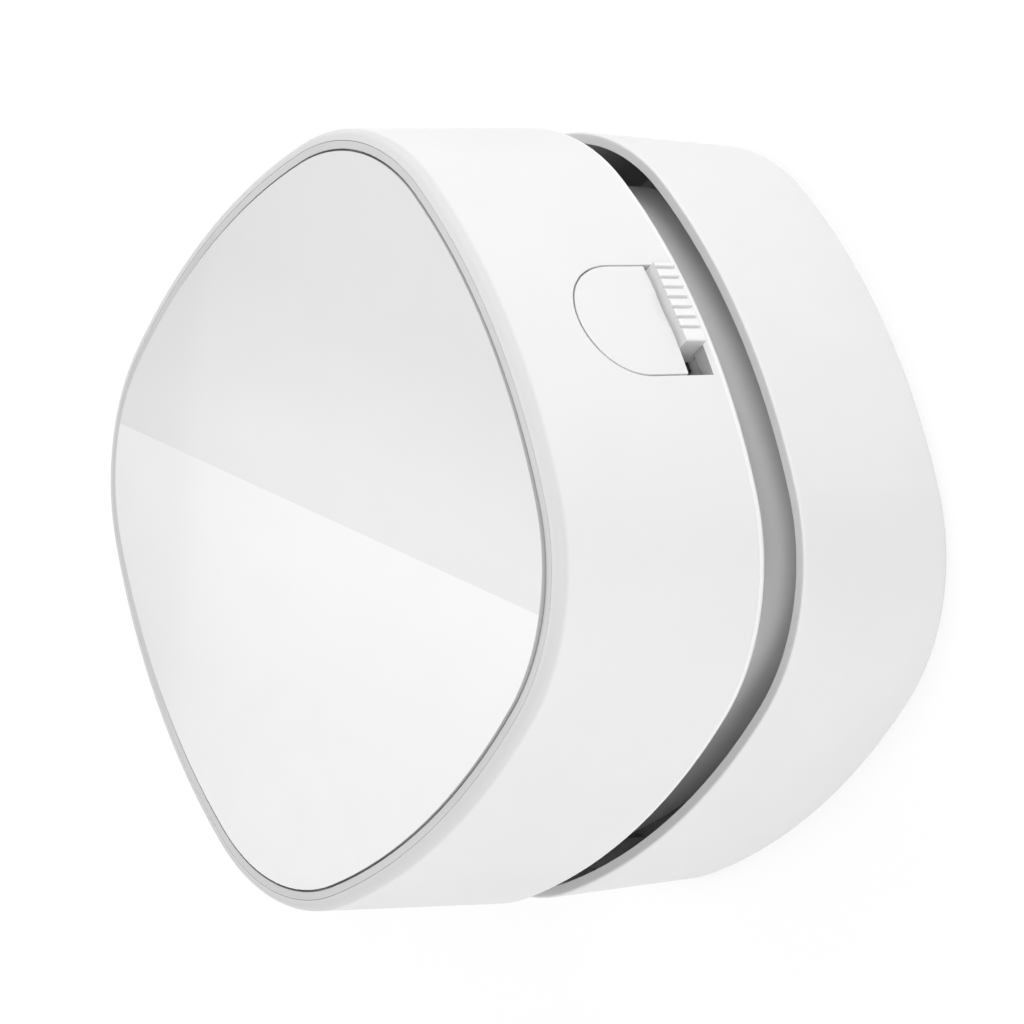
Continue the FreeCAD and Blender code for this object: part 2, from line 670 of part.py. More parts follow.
def blade():
    """Backward-curved blade: one circular arc between the eye and the rim, given thickness."""
    inlet = math.radians(BLADE_INLET_ANGLE)
    outlet = math.radians(BLADE_OUTLET_ANGLE)
    inner = WHEEL_EYE_RADIUS
    outer = WHEEL_RADIUS
    bend = (outer ** 2 - inner ** 2) / (2.0 * (outer * math.cos(outlet) - inner * math.cos(inlet)))
    centre = Vector(inner - bend * math.cos(inlet), -bend * math.sin(inlet), BLADE_FOOT_Z)
    away = math.hypot(centre.x, centre.y)
    heading = math.atan2(centre.y, centre.x)
    opening = math.acos((outer ** 2 - away ** 2 - bend ** 2) / (2.0 * away * bend))
    opening_start = math.acos((inner ** 2 - away ** 2 - bend ** 2) / (2.0 * away * bend))
    start = inlet
    sense = 1.0 if abs(wrap(heading + opening_start - start)) < NEAR else -1.0
    end = start + wrap(heading + sense * opening - start)
    lines = []
    arcs = []
    for radius in (bend - BLADE_THICKNESS / 2.0, bend + BLADE_THICKNESS / 2.0):
        arcs.append(arc(centre, radius, math.degrees(start), math.degrees(end)))
    for place in (0, -1):
        near = arcs[0].valueAt(arcs[0].FirstParameter if place == 0 else arcs[0].LastParameter)
        far = arcs[1].valueAt(arcs[1].FirstParameter if place == 0 else arcs[1].LastParameter)
        lines.append(Part.makeLine(near, far))
    wire = Part.Wire(Part.__sortEdges__([arcs[0], lines[0], arcs[1], lines[1]]))
    return Part.Face(wire).extrude(UP * (BLADE_TOP_Z - BLADE_FOOT_Z))


def wrap(angle):
    """Angle brought to between minus and plus half a turn, in radians."""
    return math.atan2(math.sin(angle), math.cos(angle))


def impeller():
    """Centrifugal fan wheel: top disc, hub and curved blades, open towards the inlet eye."""
    disc = cylinder(WHEEL_RADIUS, BLADE_TOP_Z, WHEEL_TOP_Z)
    flared = WHEEL_HUB_RADIUS * WHEEL_HUB_FLARE
    hub = Part.makeCone(WHEEL_HUB_RADIUS, flared, BLADE_TOP_Z - BLADE_FOOT_Z, UP * BLADE_FOOT_Z)
    first = blade().common(cylinder(WHEEL_RADIUS, BLADE_FOOT_Z, BLADE_TOP_Z))
    blades = []
    for number in range(BLADE_COUNT):
        copy = first.copy()
        copy.rotate(Vector(0, 0, 0), UP, 360.0 * number / BLADE_COUNT)
        blades.append(copy)
    wheel = fuse_all([disc, hub] + blades)
    return wheel.cut(cylinder(SHAFT_RADIUS, BLADE_FOOT_Z, WHEEL_TOP_Z))


def fan_cover():
    """Plate under the fan wheel with the inlet eye and a lip round it."""
    cover = cylinder(COVER_RADIUS, COVER_Z, COVER_TOP_Z)
    cover = cover.fuse(cylinder(COVER_EYE_RADIUS + COVER_LIP_WIDTH, COVER_Z - COVER_LIP_HEIGHT, COVER_Z))
    cover = cover.cut(cylinder(COVER_EYE_RADIUS, COVER_Z - COVER_LIP_HEIGHT, COVER_TOP_Z))
    for angle in QUARTERS:
        place = polar(POST_PLACE_RADIUS, angle)
        cover = cover.cut(cylinder(SCREW_RADIUS + SCREW_CLEARANCE, COVER_Z, COVER_TOP_Z, place))
        sink_top = COVER_Z + FLAT_HEAD_HEIGHT
        cover = cover.cut(cylinder(SCREW_HEAD_RADIUS + SCREW_CLEARANCE, COVER_Z, sink_top, place))
    return cover.removeSplitter()


def cell_axis_cylinder(radius, y_low, y_high):
    """Cylinder on the cell's axis between two places along it."""
    start = Vector(CELL_CENTRE_X, y_low, CELL_CENTRE_Z)
    return Part.makeCylinder(radius, y_high - y_low, start, Vector(0, 1, 0))


def battery_cell():
    """Rechargeable cell with its raised positive end."""
    half = CELL_LENGTH / 2.0
    body = cell_axis_cylinder(CELL_RADIUS, -half, half - CELL_CAP_HEIGHT)
    return body.fuse(cell_axis_cylinder(CELL_CAP_RADIUS, half - CELL_CAP_HEIGHT, half)).removeSplitter()


def battery_cradle():
    """Trough under the cell with an end wall at each end."""
    half_width = CRADLE_WIDTH / 2.0
    inner_end = CELL_LENGTH / 2.0 + CONTACT_THICKNESS
    outer_end = inner_end + CRADLE_END_WALL
    x_low = CELL_CENTRE_X - half_width
    x_high = CELL_CENTRE_X + half_width
    trough = block(x_low, x_high, -outer_end, outer_end, CHASSIS_TOP_Z, CHASSIS_TOP_Z + CRADLE_RISE)
    wall_top = CHASSIS_TOP_Z + CRADLE_END_RISE
    for side in (-1, 1):
        y_low = min(side * inner_end, side * outer_end)
        wall = block(x_low, x_high, y_low, y_low + CRADLE_END_WALL, CHASSIS_TOP_Z, wall_top)
        trough = trough.fuse(wall)
    room = cell_axis_cylinder(CELL_RADIUS + CELL_CLEARANCE, -inner_end, inner_end)
    return trough.cut(room).removeSplitter()


def battery_contacts():
    """Sheet-metal tab at each end of the cell."""
    half = CELL_LENGTH / 2.0
    x_low = CELL_CENTRE_X - CONTACT_WIDTH / 2.0
    z_low = CELL_CENTRE_Z - CONTACT_HEIGHT / 2.0
    tabs = []
    for side in (-1, 1):
        y_low = min(side * half, side * (half + CONTACT_THICKNESS))
        tab = block(
            x_low, x_low + CONTACT_WIDTH, y_low, y_low + CONTACT_THICKNESS, z_low, z_low + CONTACT_HEIGHT
        )
        tabs.append(tab)
    return Part.makeCompound(tabs)


def charge_board():
    """Charging board on its two posts, with the charging chip and the coil."""
    half = CHARGE_BOARD_WIDTH / 2.0
    y_low = BOARD_OUTER_Y - CHARGE_BOARD_LENGTH
    board = block(-half, half, y_low, BOARD_OUTER_Y, BOARD_Z, INLET_Z)
    chip_y = y_low + PART_EDGE_GAP
    half_chip = CHIP_SIDE / 2.0
    chip = block(-half_chip, half_chip, chip_y, chip_y + CHIP_SIDE, INLET_Z, INLET_Z + CHIP_HEIGHT)
    coil_place = Vector(half - COIL_RADIUS, BOARD_OUTER_Y - COIL_RADIUS - PART_EDGE_GAP, 0)
    coil = cylinder(COIL_RADIUS, INLET_Z, INLET_Z + COIL_HEIGHT, coil_place)
    board = board.fuse(chip).fuse(coil)
    for place in charge_board_posts():
        board = board.cut(cylinder(SCREW_RADIUS + SCREW_CLEARANCE, BOARD_Z, INLET_Z, place))
    return board.removeSplitter()


def board_screws():
    """Two screws through the charging board into its posts."""
    tip = CHASSIS_TOP_Z + SCREW_CLEARANCE
    places = charge_board_posts()
    return Part.makeCompound([screw(place, INLET_Z, tip, SCREW_HEAD_HEIGHT) for place in places])


def usb_socket():
    """Sheet-metal charging inlet with its tongue."""
    y_back = INLET_OUTER_Y - INLET_LENGTH
    shell = inlet_profile(0.0, y_back, INLET_OUTER_Y)
    bore = inlet_profile(-INLET_SHEET, y_back + INLET_SHEET, INLET_OUTER_Y)
    middle = INLET_Z + INLET_HEIGHT / 2.0
    half = INLET_WIDTH / 2.0 - INLET_HEIGHT / 2.0
    tip = INLET_OUTER_Y - INLET_SETBACK
    tongue = block(-half, half, y_back + INLET_SHEET, tip, middle - TONGUE_HALF, middle + TONGUE_HALF)
    return shell.cut(bore).fuse(tongue).removeSplitter()


def lead(points):
    """Insulated wire along points, with a round bend at each inner point."""
    edges = []
    begin = points[0]
    for before, corner, after in zip(points, points[1:], points[2:]):
        coming = (corner - before).normalize()
        going = (after - corner).normalize()
        half_turn = coming.getAngle(going) / 2.0
        setback = LEAD_BEND * math.tan(half_turn)
        inward = (going - coming).normalize()
        middle = corner + inward * (LEAD_BEND / math.cos(half_turn) - LEAD_BEND)
        edges.append(Part.makeLine(begin, corner - coming * setback))
        edges.append(Part.Arc(corner - coming * setback, middle, corner + going * setback).toShape())
        begin = corner + going * setback
    edges.append(Part.makeLine(begin, points[-1]))
    section = Part.Wire(Part.makeCircle(LEAD_RADIUS, points[0], points[1] - points[0]))
    return Part.Wire(edges).makePipeShell([section], True, False)


def wire_leads():
    """Leads from the cell to the charging board, and from there by way of the switch to the motor."""
    motor_z = MOTOR_TOP_Z + MOTOR_CAP_HEIGHT + TERMINAL_WIDTH / 2.0
    terminal_face = TERMINAL_THICKNESS / 2.0
    switch_face = SWITCH_BACK_Y + BOARD_THICKNESS
    switch_z = CHASSIS_TOP_Z + SWITCH_BOARD_HEIGHT - 2.0 * LEAD_BEND
    pad_y = BOARD_OUTER_Y - LEAD_PAD_Y
    contact_z = CELL_CENTRE_Z + CONTACT_HEIGHT / 2.0 - LEAD_RADIUS - LEAD_GAP
    contact_y = CELL_LENGTH / 2.0 + CONTACT_THICKNESS
    cell_y = contact_y + LEAD_CELL_RUN
    over_z = CELL_CENTRE_Z + CELL_RADIUS + LEAD_RADIUS + LEAD_GAP
    bus = -TERMINAL_SPREAD - LEAD_SPACING
    near = TERMINAL_SPREAD - LEAD_RADIUS
    far = near - LEAD_CELL_SPACING
    routes = [
        [
            Vector(CELL_CENTRE_X, contact_y, contact_z),
            Vector(CELL_CENTRE_X, cell_y, contact_z),
            Vector(near, cell_y, contact_z),
            Vector(near, pad_y, contact_z),
            Vector(near, pad_y, INLET_Z),
        ],
        [
            Vector(CELL_CENTRE_X, -contact_y, contact_z),
            Vector(CELL_CENTRE_X, -cell_y, contact_z),
            Vector(CELL_CENTRE_X, -cell_y, over_z),
            Vector(CELL_CENTRE_X, contact_y, over_z),
            Vector(far, contact_y, over_z),
            Vector(far, pad_y, over_z),
            Vector(far, pad_y, INLET_Z),
        ],
        [
            Vector(bus, pad_y, INLET_Z),
            Vector(bus, pad_y, motor_z),
            Vector(bus, switch_face + LEAD_DROP, motor_z),
            Vector(bus, switch_face + LEAD_DROP, switch_z),
            Vector(bus, switch_face, switch_z),
        ],
        [
            Vector(TERMINAL_SPREAD, -terminal_face, motor_z),
            Vector(TERMINAL_SPREAD, switch_face + LEAD_DROP, motor_z),
            Vector(TERMINAL_SPREAD, switch_face + LEAD_DROP, switch_z),
            Vector(TERMINAL_SPREAD, switch_face, switch_z),
        ],
        [
            Vector(-TERMINAL_SPREAD, terminal_face, motor_z),
            Vector(-TERMINAL_SPREAD, pad_y, motor_z),
            Vector(-TERMINAL_SPREAD, pad_y, INLET_Z),
        ],
    ]
    return Part.makeCompound([lead(points) for points in routes])


def filter_frame():
    """Round frame that sits on the dust cup's rim, with spokes that carry the mesh."""
    plug_radius = CUP_RADIUS - CUP_WALL - FILTER_CLEARANCE
    bore = plug_radius - FILTER_PLUG_WALL
    foot = CUP_TOP_Z - FILTER_PLUG_DEPTH
    frame = tube(CUP_RADIUS, bore, CUP_TOP_Z, FLANGE_TOP_Z)
    frame = frame.fuse(tube(plug_radius, bore, foot, CUP_TOP_Z))
    spoke_top = foot + SPOKE_HEIGHT
    spoke_end = bore + FILTER_PLUG_WALL / 2.0
    half_spoke = SPOKE_WIDTH / 2.0
    for number in range(FILTER_SPOKES):
        angle = 360.0 * number / FILTER_SPOKES
        spoke = block(0.0, spoke_end, -half_spoke, half_spoke, foot, spoke_top)
        spoke.rotate(Vector(0, 0, 0), UP, angle)
        frame = frame.fuse(spoke)
    return frame.fuse(cylinder(FILTER_HUB_RADIUS, foot, spoke_top)).removeSplitter()


def filter_mesh():
    """Fine mesh that lies on the spokes."""
    bore = CUP_RADIUS - CUP_WALL - FILTER_CLEARANCE - FILTER_PLUG_WALL
    low = CUP_TOP_Z - FILTER_PLUG_DEPTH + SPOKE_HEIGHT
    return cylinder(bore - TRIM_CLEARANCE, low, low + MESH_THICKNESS)


def filter_seal():
    """Soft ring on the filter's flange that the fan cover presses on."""
    return tube(CUP_RADIUS - SEAL_CLEARANCE, CUP_RADIUS - SEAL_WIDTH, FLANGE_TOP_Z, SEAL_TOP_Z)


def dust_cup():
    """Round cup on the base's floor that the dust falls into."""
    cup = cylinder(CUP_RADIUS, BASE_FLOOR_Z, CUP_TOP_Z)
    cup = cup.cut(cylinder(CUP_RADIUS - CUP_WALL, BASE_FLOOR_Z + CUP_FLOOR, CUP_TOP_Z))
    return cup.cut(cylinder(TUBE_BORE_RADIUS + TUBE_WALL, BASE_FLOOR_Z, BASE_FLOOR_Z + CUP_FLOOR))


def intake_tube():
    """Raised suction tube, cut aslant at the top so that dust doesn't fall back out."""
    outer = TUBE_BORE_RADIUS + TUBE_WALL
    top = BASE_FLOOR_Z + TUBE_HEIGHT
    pipe = cylinder(outer, BASE_FOOT_Z, top)
    flange_z = BASE_FLOOR_Z + CUP_FLOOR
    pipe = pipe.fuse(cylinder(outer + TUBE_FLANGE_WIDTH, flange_z, flange_z + TUBE_FLANGE_THICKNESS))
    pipe = pipe.cut(cylinder(TUBE_BORE_RADIUS, BASE_FOOT_Z, top))
    knife = block(-2.0 * outer, 2.0 * outer, -2.0 * outer, 2.0 * outer, 0.0, TUBE_HEIGHT)
    knife.rotate(Vector(0, 0, 0), Vector(0, 1, 0), TUBE_SLANT)
    knife.translate(UP * (top - outer * math.tan(math.radians(TUBE_SLANT))))
    return pipe.cut(knife).removeSplitter()


def base_ribs():
    """Stiffening ribs at the corners of the base, between the shell and the neck."""
    inner = corner_reach(NECK_INSET) + RIB_GAP
    outer = corner_reach(BASE_WALL)
    half_rib = RIB_WIDTH / 2.0
    ribs = []
    for angle in DIAGONALS:
        rib = block(inner, outer, -half_rib, half_rib, BASE_FLOOR_Z, BASE_FLOOR_Z + RIB_HEIGHT)
        rib.rotate(Vector(0, 0, 0), UP, angle)
        ribs.append(rib)
    return ribs


def base_shell():
    """Lower shell: drafted, open at the top, with the suction hole and seats for brush and feet."""
    body = drafted(BASE_FOOT_INSET, BASE_FOOT_Z, BASE_RIM_INSET, BASE_RIM_Z)
    body = body.makeFillet(BASE_FOOT_ROUND, edges_at(body, BASE_FOOT_Z))
    body = body.makeFillet(BASE_RIM_ROUND, edges_at(body, BASE_RIM_Z))
    cavity = drafted(BASE_FOOT_INSET + BASE_WALL, BASE_FLOOR_Z, BASE_RIM_INSET + BASE_WALL, BASE_RIM_Z)
    shape = fuse_all([body.cut(cavity)] + [rib.common(body) for rib in base_ribs()])
    shape = shape.cut(cylinder(TUBE_BORE_RADIUS + TUBE_WALL, BASE_FOOT_Z, BASE_FLOOR_Z))
    half_ring = BRUSH_RING_WIDTH / 2.0
    seat_top = BASE_FOOT_Z + BRUSH_RING_THICKNESS
    shape = shape.cut(tube(BRUSH_RADIUS + half_ring, BRUSH_RADIUS - half_ring, BASE_FOOT_Z, seat_top))
    for angle in DIAGONALS:
        place = polar(foot_diagonal(), angle)
        shape = shape.cut(cylinder(FOOT_RADIUS, BASE_FOOT_Z, BASE_FOOT_Z + FOOT_SEAT, place))
    return shape.removeSplitter()


def tuft_places():
    """Places of the bristle tufts, in two staggered rings."""
    shift = BRUSH_RING_WIDTH / 4.0
    places = []
    for number in range(TUFT_COUNT):
        radius = BRUSH_RADIUS + (shift if number % 2 else -shift)
        places.append(polar(radius, 360.0 * number / TUFT_COUNT))
    return places


def tuft(place, z_low, z_high):
    """Six-sided bundle of bristles between two heights."""
    corners = [place + polar(TUFT_RADIUS, 60.0 * number, z_low) for number in range(6)]
    return Part.Face(Part.makePolygon(corners + corners[:1])).extrude(UP * (z_high - z_low))


def brush_ring():
    """Ring let into the base's underside, with a hole for each tuft."""
    half_ring = BRUSH_RING_WIDTH / 2.0
    low = BASE_FOOT_Z
    high = BASE_FOOT_Z + BRUSH_RING_THICKNESS
    ring = tube(BRUSH_RADIUS + half_ring, BRUSH_RADIUS - half_ring, low, high)
    return ring.cut(Part.makeCompound([tuft(place, low, high) for place in tuft_places()]))


def bristle_tufts():
    """Tufts set in the brush ring, with their tips just clear of the surface."""
    root = BASE_FOOT_Z + BRUSH_RING_THICKNESS
    return Part.makeCompound([tuft(place, TUFT_TIP_GAP, root) for place in tuft_places()])


def rubber_feet():
    """Four soft feet that the cleaner rests on."""
    feet = []
    for angle in DIAGONALS:
        foot = cylinder(FOOT_RADIUS, 0.0, BASE_FOOT_Z + FOOT_SEAT, polar(foot_diagonal(), angle))
        feet.append(foot.makeChamfer(FOOT_BEVEL, edges_at(foot, 0.0)))
    return Part.makeCompound(feet)


NODES = {
    "upper_housing": upper_housing,
    "trim_ring": trim_ring,
    "top_panel": top_panel,
    "thumb_plate": thumb_plate,
    "slide_knob": slide_knob,
    "switch_nub": switch_nub,
    "switch_body": switch_body,
    "switch_board": switch_board,
    "fan_chassis": fan_chassis,
    "chassis_screws": chassis_screws,
    "motor_can": motor_can,
    "motor_end_cap": motor_end_cap,
    "motor_screws": motor_screws,
    "motor_shaft": motor_shaft,
    "impeller": impeller,
    "fan_cover": fan_cover,
    "cover_screws": cover_screws,
    "battery_cell": battery_cell,
    "battery_cradle": battery_cradle,
    "battery_contacts": battery_contacts,
    "charge_board": charge_board,
    "board_screws": board_screws,
    "usb_socket": usb_socket,
    "wire_leads": wire_leads,
    "filter_frame": filter_frame,
    "filter_mesh": filter_mesh,
    "filter_seal": filter_seal,
    "dust_cup": dust_cup,
    "intake_tube": intake_tube,
    "base_shell": base_shell,
    "brush_ring": brush_ring,
    "bristle_tufts": bristle_tufts,
    "rubber_feet": rubber_feet,
}


def main():
    """Makes each node and writes its STEP file."""
    os.makedirs("parts", exist_ok=True)
    for name, make in NODES.items():
        shape = make()
        print(name, "solids", len(shape.Solids), "valid", shape.isValid(), "volume", round(shape.Volume, 1))
        shape.exportStep("parts/" + name + ".step")


main()
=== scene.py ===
import math
import random

import bmesh
import bpy
from mathutils import Matrix, Vector


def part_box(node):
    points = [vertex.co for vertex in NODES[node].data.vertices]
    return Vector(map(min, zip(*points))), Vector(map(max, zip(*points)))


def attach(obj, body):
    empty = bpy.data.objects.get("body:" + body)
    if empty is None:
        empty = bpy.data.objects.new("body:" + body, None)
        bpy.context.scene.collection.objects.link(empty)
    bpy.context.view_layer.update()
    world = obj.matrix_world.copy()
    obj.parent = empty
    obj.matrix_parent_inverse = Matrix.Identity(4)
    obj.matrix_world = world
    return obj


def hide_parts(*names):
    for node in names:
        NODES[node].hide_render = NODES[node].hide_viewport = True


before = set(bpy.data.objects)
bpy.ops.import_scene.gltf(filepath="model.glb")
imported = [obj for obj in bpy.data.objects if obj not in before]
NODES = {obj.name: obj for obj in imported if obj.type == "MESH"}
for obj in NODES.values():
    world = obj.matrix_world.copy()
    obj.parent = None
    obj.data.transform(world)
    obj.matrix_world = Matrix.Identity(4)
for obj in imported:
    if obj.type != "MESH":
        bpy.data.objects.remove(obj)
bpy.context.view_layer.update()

MM = 0.001

# Camera: it looks down at the object from the front left, rolled on to its side
CAMERA_AZIMUTH = 31.440
CAMERA_ELEVATION = 37.632
CAMERA_ROLL = -91.209
CAMERA_DISTANCE = 468.892 * MM
CAMERA_LENS = 147.47
CAMERA_SENSOR = 36.0
LOOK_HEIGHT = 28.232 * MM
LOOK_ASIDE = 0.785 * MM

# Stage and light
FLOOR_SIZE = 6.0
FLOOR_GREY = 0.90
SHADOW_SHARE = 0.25
SHADOW_NEAR = 90.0 * MM
SHADOW_FAR = 400.0 * MM
WORLD_STRENGTH = 0.25
BACKDROP_STRENGTH = 1.09

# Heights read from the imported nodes
BASE_RIM_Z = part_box("base_shell")[1].z
HOUSING_RIM_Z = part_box("upper_housing")[0].z
HOUSING_TOP_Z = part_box("upper_housing")[1].z
KNOB_FACE_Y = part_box("slide_knob")[0].y

# Fold of the face panel: the turn of the line across it, and its distance from the middle
FOLD_ACROSS = math.radians(133.0)
FOLD_SHIFT = 1.2 * MM

# Sizes of the pieces that are made here
WIRE_PITCH = 0.75 * MM
WIRE_RADIUS = 0.11 * MM
RING_STEPS = 144
SEAL_WIDTH = 3.4 * MM
SEAL_UNEVEN_RISE = 0.05
SEAL_UNEVEN_RADIUS = 0.01
FILAMENTS = 34
FILAMENT_RADIUS = 0.055 * MM
GOLDEN_ANGLE = 2.399963
TUFT_CUT_ASIDE = 0.01 * MM
TUFT_SPREAD = 0.82 * MM
TIP_SPLAY = 0.14 * MM
TIP_STRAY = 0.06 * MM
TIP_UNEVEN = 0.12 * MM

# Section of the foam ring from its inner foot over its crown, in shares of half width and height
SEAL_PROFILE = (
    (-1.0, 0.0),
    (-1.0, 0.55),
    (-0.86, 0.86),
    (-0.5, 0.97),
    (0.0, 1.0),
    (0.5, 0.97),
    (0.86, 0.86),
    (1.0, 0.55),
    (1.0, 0.0),
)

# Where one finish, painted shade, painted highlight or painted reflection gives way to another on
# the same node, and over how far
FINE_BLUR = 0.05 * MM
SOFT_BLUR = 0.1 * MM
SHOULDER_DOWN = 1.1 * MM
SHOULDER_BLUR = 0.25 * MM
RIM_ROUND_UP = 1.35 * MM
SLOT_DOWN = 5.0 * MM
BASE_RIM_FLAT_DOWN = 0.4 * MM
BASE_FLOOR_DOWN = 2.0 * MM
NECK_SHADE_DOWN = 1.2 * MM
NECK_SHADE_BLUR = 1.0 * MM
GROOVE_SHADE_START = 0.25 * MM
GROOVE_SHADE_FULL = 0.33 * MM
# Painted reflection on the panel: each facet fades from its pale tone to its dark tone between
# these reaches from the fold
FACET_PALE_REACH = 4.0 * MM
FACET_DARK_REACH = 23.0 * MM
FACET_CLOUD = 2.0 * MM
BOARD_THICKNESS = 1.0 * MM
PACKAGE_RISE = 0.12 * MM
TONGUE_HALF_HEIGHT = 0.45 * MM
TONGUE_HALF_WIDTH = 2.9 * MM
RED_LEAD_X = 3.25 * MM
CELL_SLEEVE_END = 11.5 * MM
BRISTLE_PALE_Z = 0.3 * MM
BRISTLE_DARK_Z = 1.6 * MM


def aim_camera():
    """Camera at the photograph's viewing angle."""
    azimuth = math.radians(CAMERA_AZIMUTH)
    elevation = math.radians(CAMERA_ELEVATION)
    roll = math.radians(CAMERA_ROLL)
    back = Vector((
        -math.sin(azimuth) * math.cos(elevation),
        -math.cos(azimuth) * math.cos(elevation),
        math.sin(elevation),
    ))
    aside = Vector((math.cos(azimuth), -math.sin(azimuth), 0.0))
    upward = back.cross(aside)
    right = math.cos(roll) * aside + math.sin(roll) * upward
    up = -math.sin(roll) * aside + math.cos(roll) * upward
    target = Vector((0.0, 0.0, LOOK_HEIGHT)) + LOOK_ASIDE * aside
    data = bpy.data.cameras.new("camera")
    data.lens = CAMERA_LENS
    data.sensor_width = CAMERA_SENSOR
    data.clip_start = 0.01
    camera = bpy.data.objects.new("camera", data)
    bpy.context.scene.collection.objects.link(camera)
    turn = Matrix((right, up, back)).transposed()
    camera.matrix_world = Matrix.Translation(target + CAMERA_DISTANCE * back) @ turn.to_4x4()
    bpy.context.scene.camera = camera


def material(name):
    """New node material, with its tree and its Principled shader."""
    made = bpy.data.materials.new(name)
    made.use_nodes = True
    tree = made.node_tree
    return made, tree, tree.nodes["Principled BSDF"]


def node(tree, kind, **values):
    """New node of a kind, with its properties set."""
    made = tree.nodes.new(kind)
    for key, value in values.items():
        setattr(made, key, value)
    return made


def place(tree):
    """Object coordinates socket, which move with the piece."""
    return node(tree, "ShaderNodeTexCoord").outputs["Object"]


def noise(tree, scale, detail=4.0, roughness=0.55, stretch=None):
    """Noise of a scale in cycles per metre, as a socket."""
    texture = node(tree, "ShaderNodeTexNoise")
    texture.inputs["Scale"].default_value = scale
    texture.inputs["Detail"].default_value = detail
    texture.inputs["Roughness"].default_value = roughness
    source = place(tree)
    if stretch:
        mapping = node(tree, "ShaderNodeMapping")
        mapping.inputs["Scale"].default_value = stretch
        tree.links.new(source, mapping.inputs["Vector"])
        source = mapping.outputs["Vector"]
    tree.links.new(source, texture.inputs["Vector"])
    return texture.outputs["Fac"]


def spread(tree, source, low, high, start=0.3, end=0.7):
    """Socket of a value from low to high, as the source goes from start to end."""
    ramp = node(tree, "ShaderNodeMapRange")
    ramp.inputs["From Min"].default_value = start
    ramp.inputs["From Max"].default_value = end
    ramp.inputs["To Min"].default_value = low
    ramp.inputs["To Max"].default_value = high
    tree.links.new(source, ramp.inputs["Value"])
    return ramp.outputs["Result"]


def math_node(tree, operation, first, second):
    """Socket of two sockets or numbers joined by an operation."""
    made = node(tree, "ShaderNodeMath", operation=operation)
    for number, value in enumerate((first, second)):
        if isinstance(value, (int, float)):
            made.inputs[number].default_value = value
        else:
            tree.links.new(value, made.inputs[number])
    return made.outputs["Value"]


def mix_colours(tree, share, first, second):
    """Socket that goes from one colour to another with a share."""
    mix = node(tree, "ShaderNodeMix", data_type="RGBA")
    tree.links.new(share, mix.inputs["Factor"])
    for name, value in (("A", first), ("B", second)):
        socket = next(s for s in mix.inputs if s.name == name and s.type == "RGBA")
        if isinstance(value, tuple):
            socket.default_value = (*value, 1.0)
        else:
            tree.links.new(value, socket)
    return next(s for s in mix.outputs if s.type == "RGBA")


def height_map(tree, shader, source, depth, strength):
    """Surface relief of a depth in metres."""
    bump = node(tree, "ShaderNodeBump")
    bump.inputs["Strength"].default_value = strength
    bump.inputs["Distance"].default_value = depth
    tree.links.new(source, bump.inputs["Height"])
    tree.links.new(bump.outputs["Normal"], shader.inputs["Normal"])


def axis_value(tree, letter):
    """Socket of one object coordinate."""
    split = node(tree, "ShaderNodeSeparateXYZ")
    tree.links.new(place(tree), split.inputs["Vector"])
    return split.outputs[letter]


def along_direction(tree, source, direction):
    """Socket of how far a vector reaches along a direction."""
    dot = node(tree, "ShaderNodeVectorMath", operation="DOT_PRODUCT")
    tree.links.new(source, dot.inputs[0])
    dot.inputs[1].default_value = direction
    return dot.outputs["Value"]


def facing(tree, start, end):
    """Socket that goes from 0 to 1 as the surface turns upwards."""
    geometry = node(tree, "ShaderNodeNewGeometry")
    turned = along_direction(tree, geometry.outputs["True Normal"], (0.0, 0.0, 1.0))
    return spread(tree, turned, 0.0, 1.0, start, end)


def facing_up(tree):
    """Socket that is 1 where the surface faces up, and 0 on walls."""
    return facing(tree, 0.75, 0.95)


def facing_inwards(tree):
    """Socket that is 1 on walls that face the upright axis, and 0 on the rest."""
    geometry = node(tree, "ShaderNodeNewGeometry")
    flat = node(tree, "ShaderNodeVectorMath", operation="MULTIPLY")
    tree.links.new(place(tree), flat.inputs[0])
    flat.inputs[1].default_value = (1.0, 1.0, 0.0)
    dot = node(tree, "ShaderNodeVectorMath", operation="DOT_PRODUCT")
    tree.links.new(geometry.outputs["True Normal"], dot.inputs[0])
    tree.links.new(flat.outputs["Vector"], dot.inputs[1])
    return spread(tree, dot.outputs["Value"], 1.0, 0.0, -6.0 * MM, -3.0 * MM)


def beyond(tree, source, edge, blur):
    """Socket that is 1 where a value is beyond an edge and 0 before it."""
    return spread(tree, source, 0.0, 1.0, edge - blur, edge + blur)


def above(tree, height, blur=SOFT_BLUR):
    """Socket that is 1 above a height and 0 below it."""
    return beyond(tree, axis_value(tree, "Z"), height, blur)


def below(tree, height, blur=SOFT_BLUR):
    """Socket that is 1 below a height and 0 above it."""
    return spread(tree, axis_value(tree, "Z"), 1.0, 0.0, height - blur, height + blur)


def within(tree, source, reach, blur):
    """Socket that is 1 where a value is within a reach of zero, and 0 beyond it and a blur."""
    size = math_node(tree, "ABSOLUTE", source, 0.0)
    return spread(tree, size, 1.0, 0.0, reach, reach + blur)


def moulded(name, colour, shade, rough, grain=6500.0, depth=0.004 * MM, gloss=0.5):
    """Moulded plastic: fine spark-eroded grain, slow flow marks in its tone, and uneven sheen."""
    made, tree, shader = material(name)
    flow = noise(tree, 55.0, 3.0)
    fine = noise(tree, grain, 2.0)
    tone = mix_colours(tree, spread(tree, flow, 0.0, 1.0), colour, shade)
    tree.links.new(tone, shader.inputs["Base Color"])
    slow = spread(tree, flow, rough - 0.03, rough + 0.03)
    sheen = math_node(tree, "ADD", slow, spread(tree, fine, 0.0, 0.04))
    tree.links.new(sheen, shader.inputs["Roughness"])
    shader.inputs["Specular IOR Level"].default_value = gloss
    height_map(tree, shader, fine, depth, 0.6)
    return made, tree, shader


def repaint(tree, shader, share, colour):
    """Lays a colour over the base colour where the share is 1."""
    under = shader.inputs["Base Color"].links[0].from_socket
    tree.links.new(mix_colours(tree, share, under, colour), shader.inputs["Base Color"])


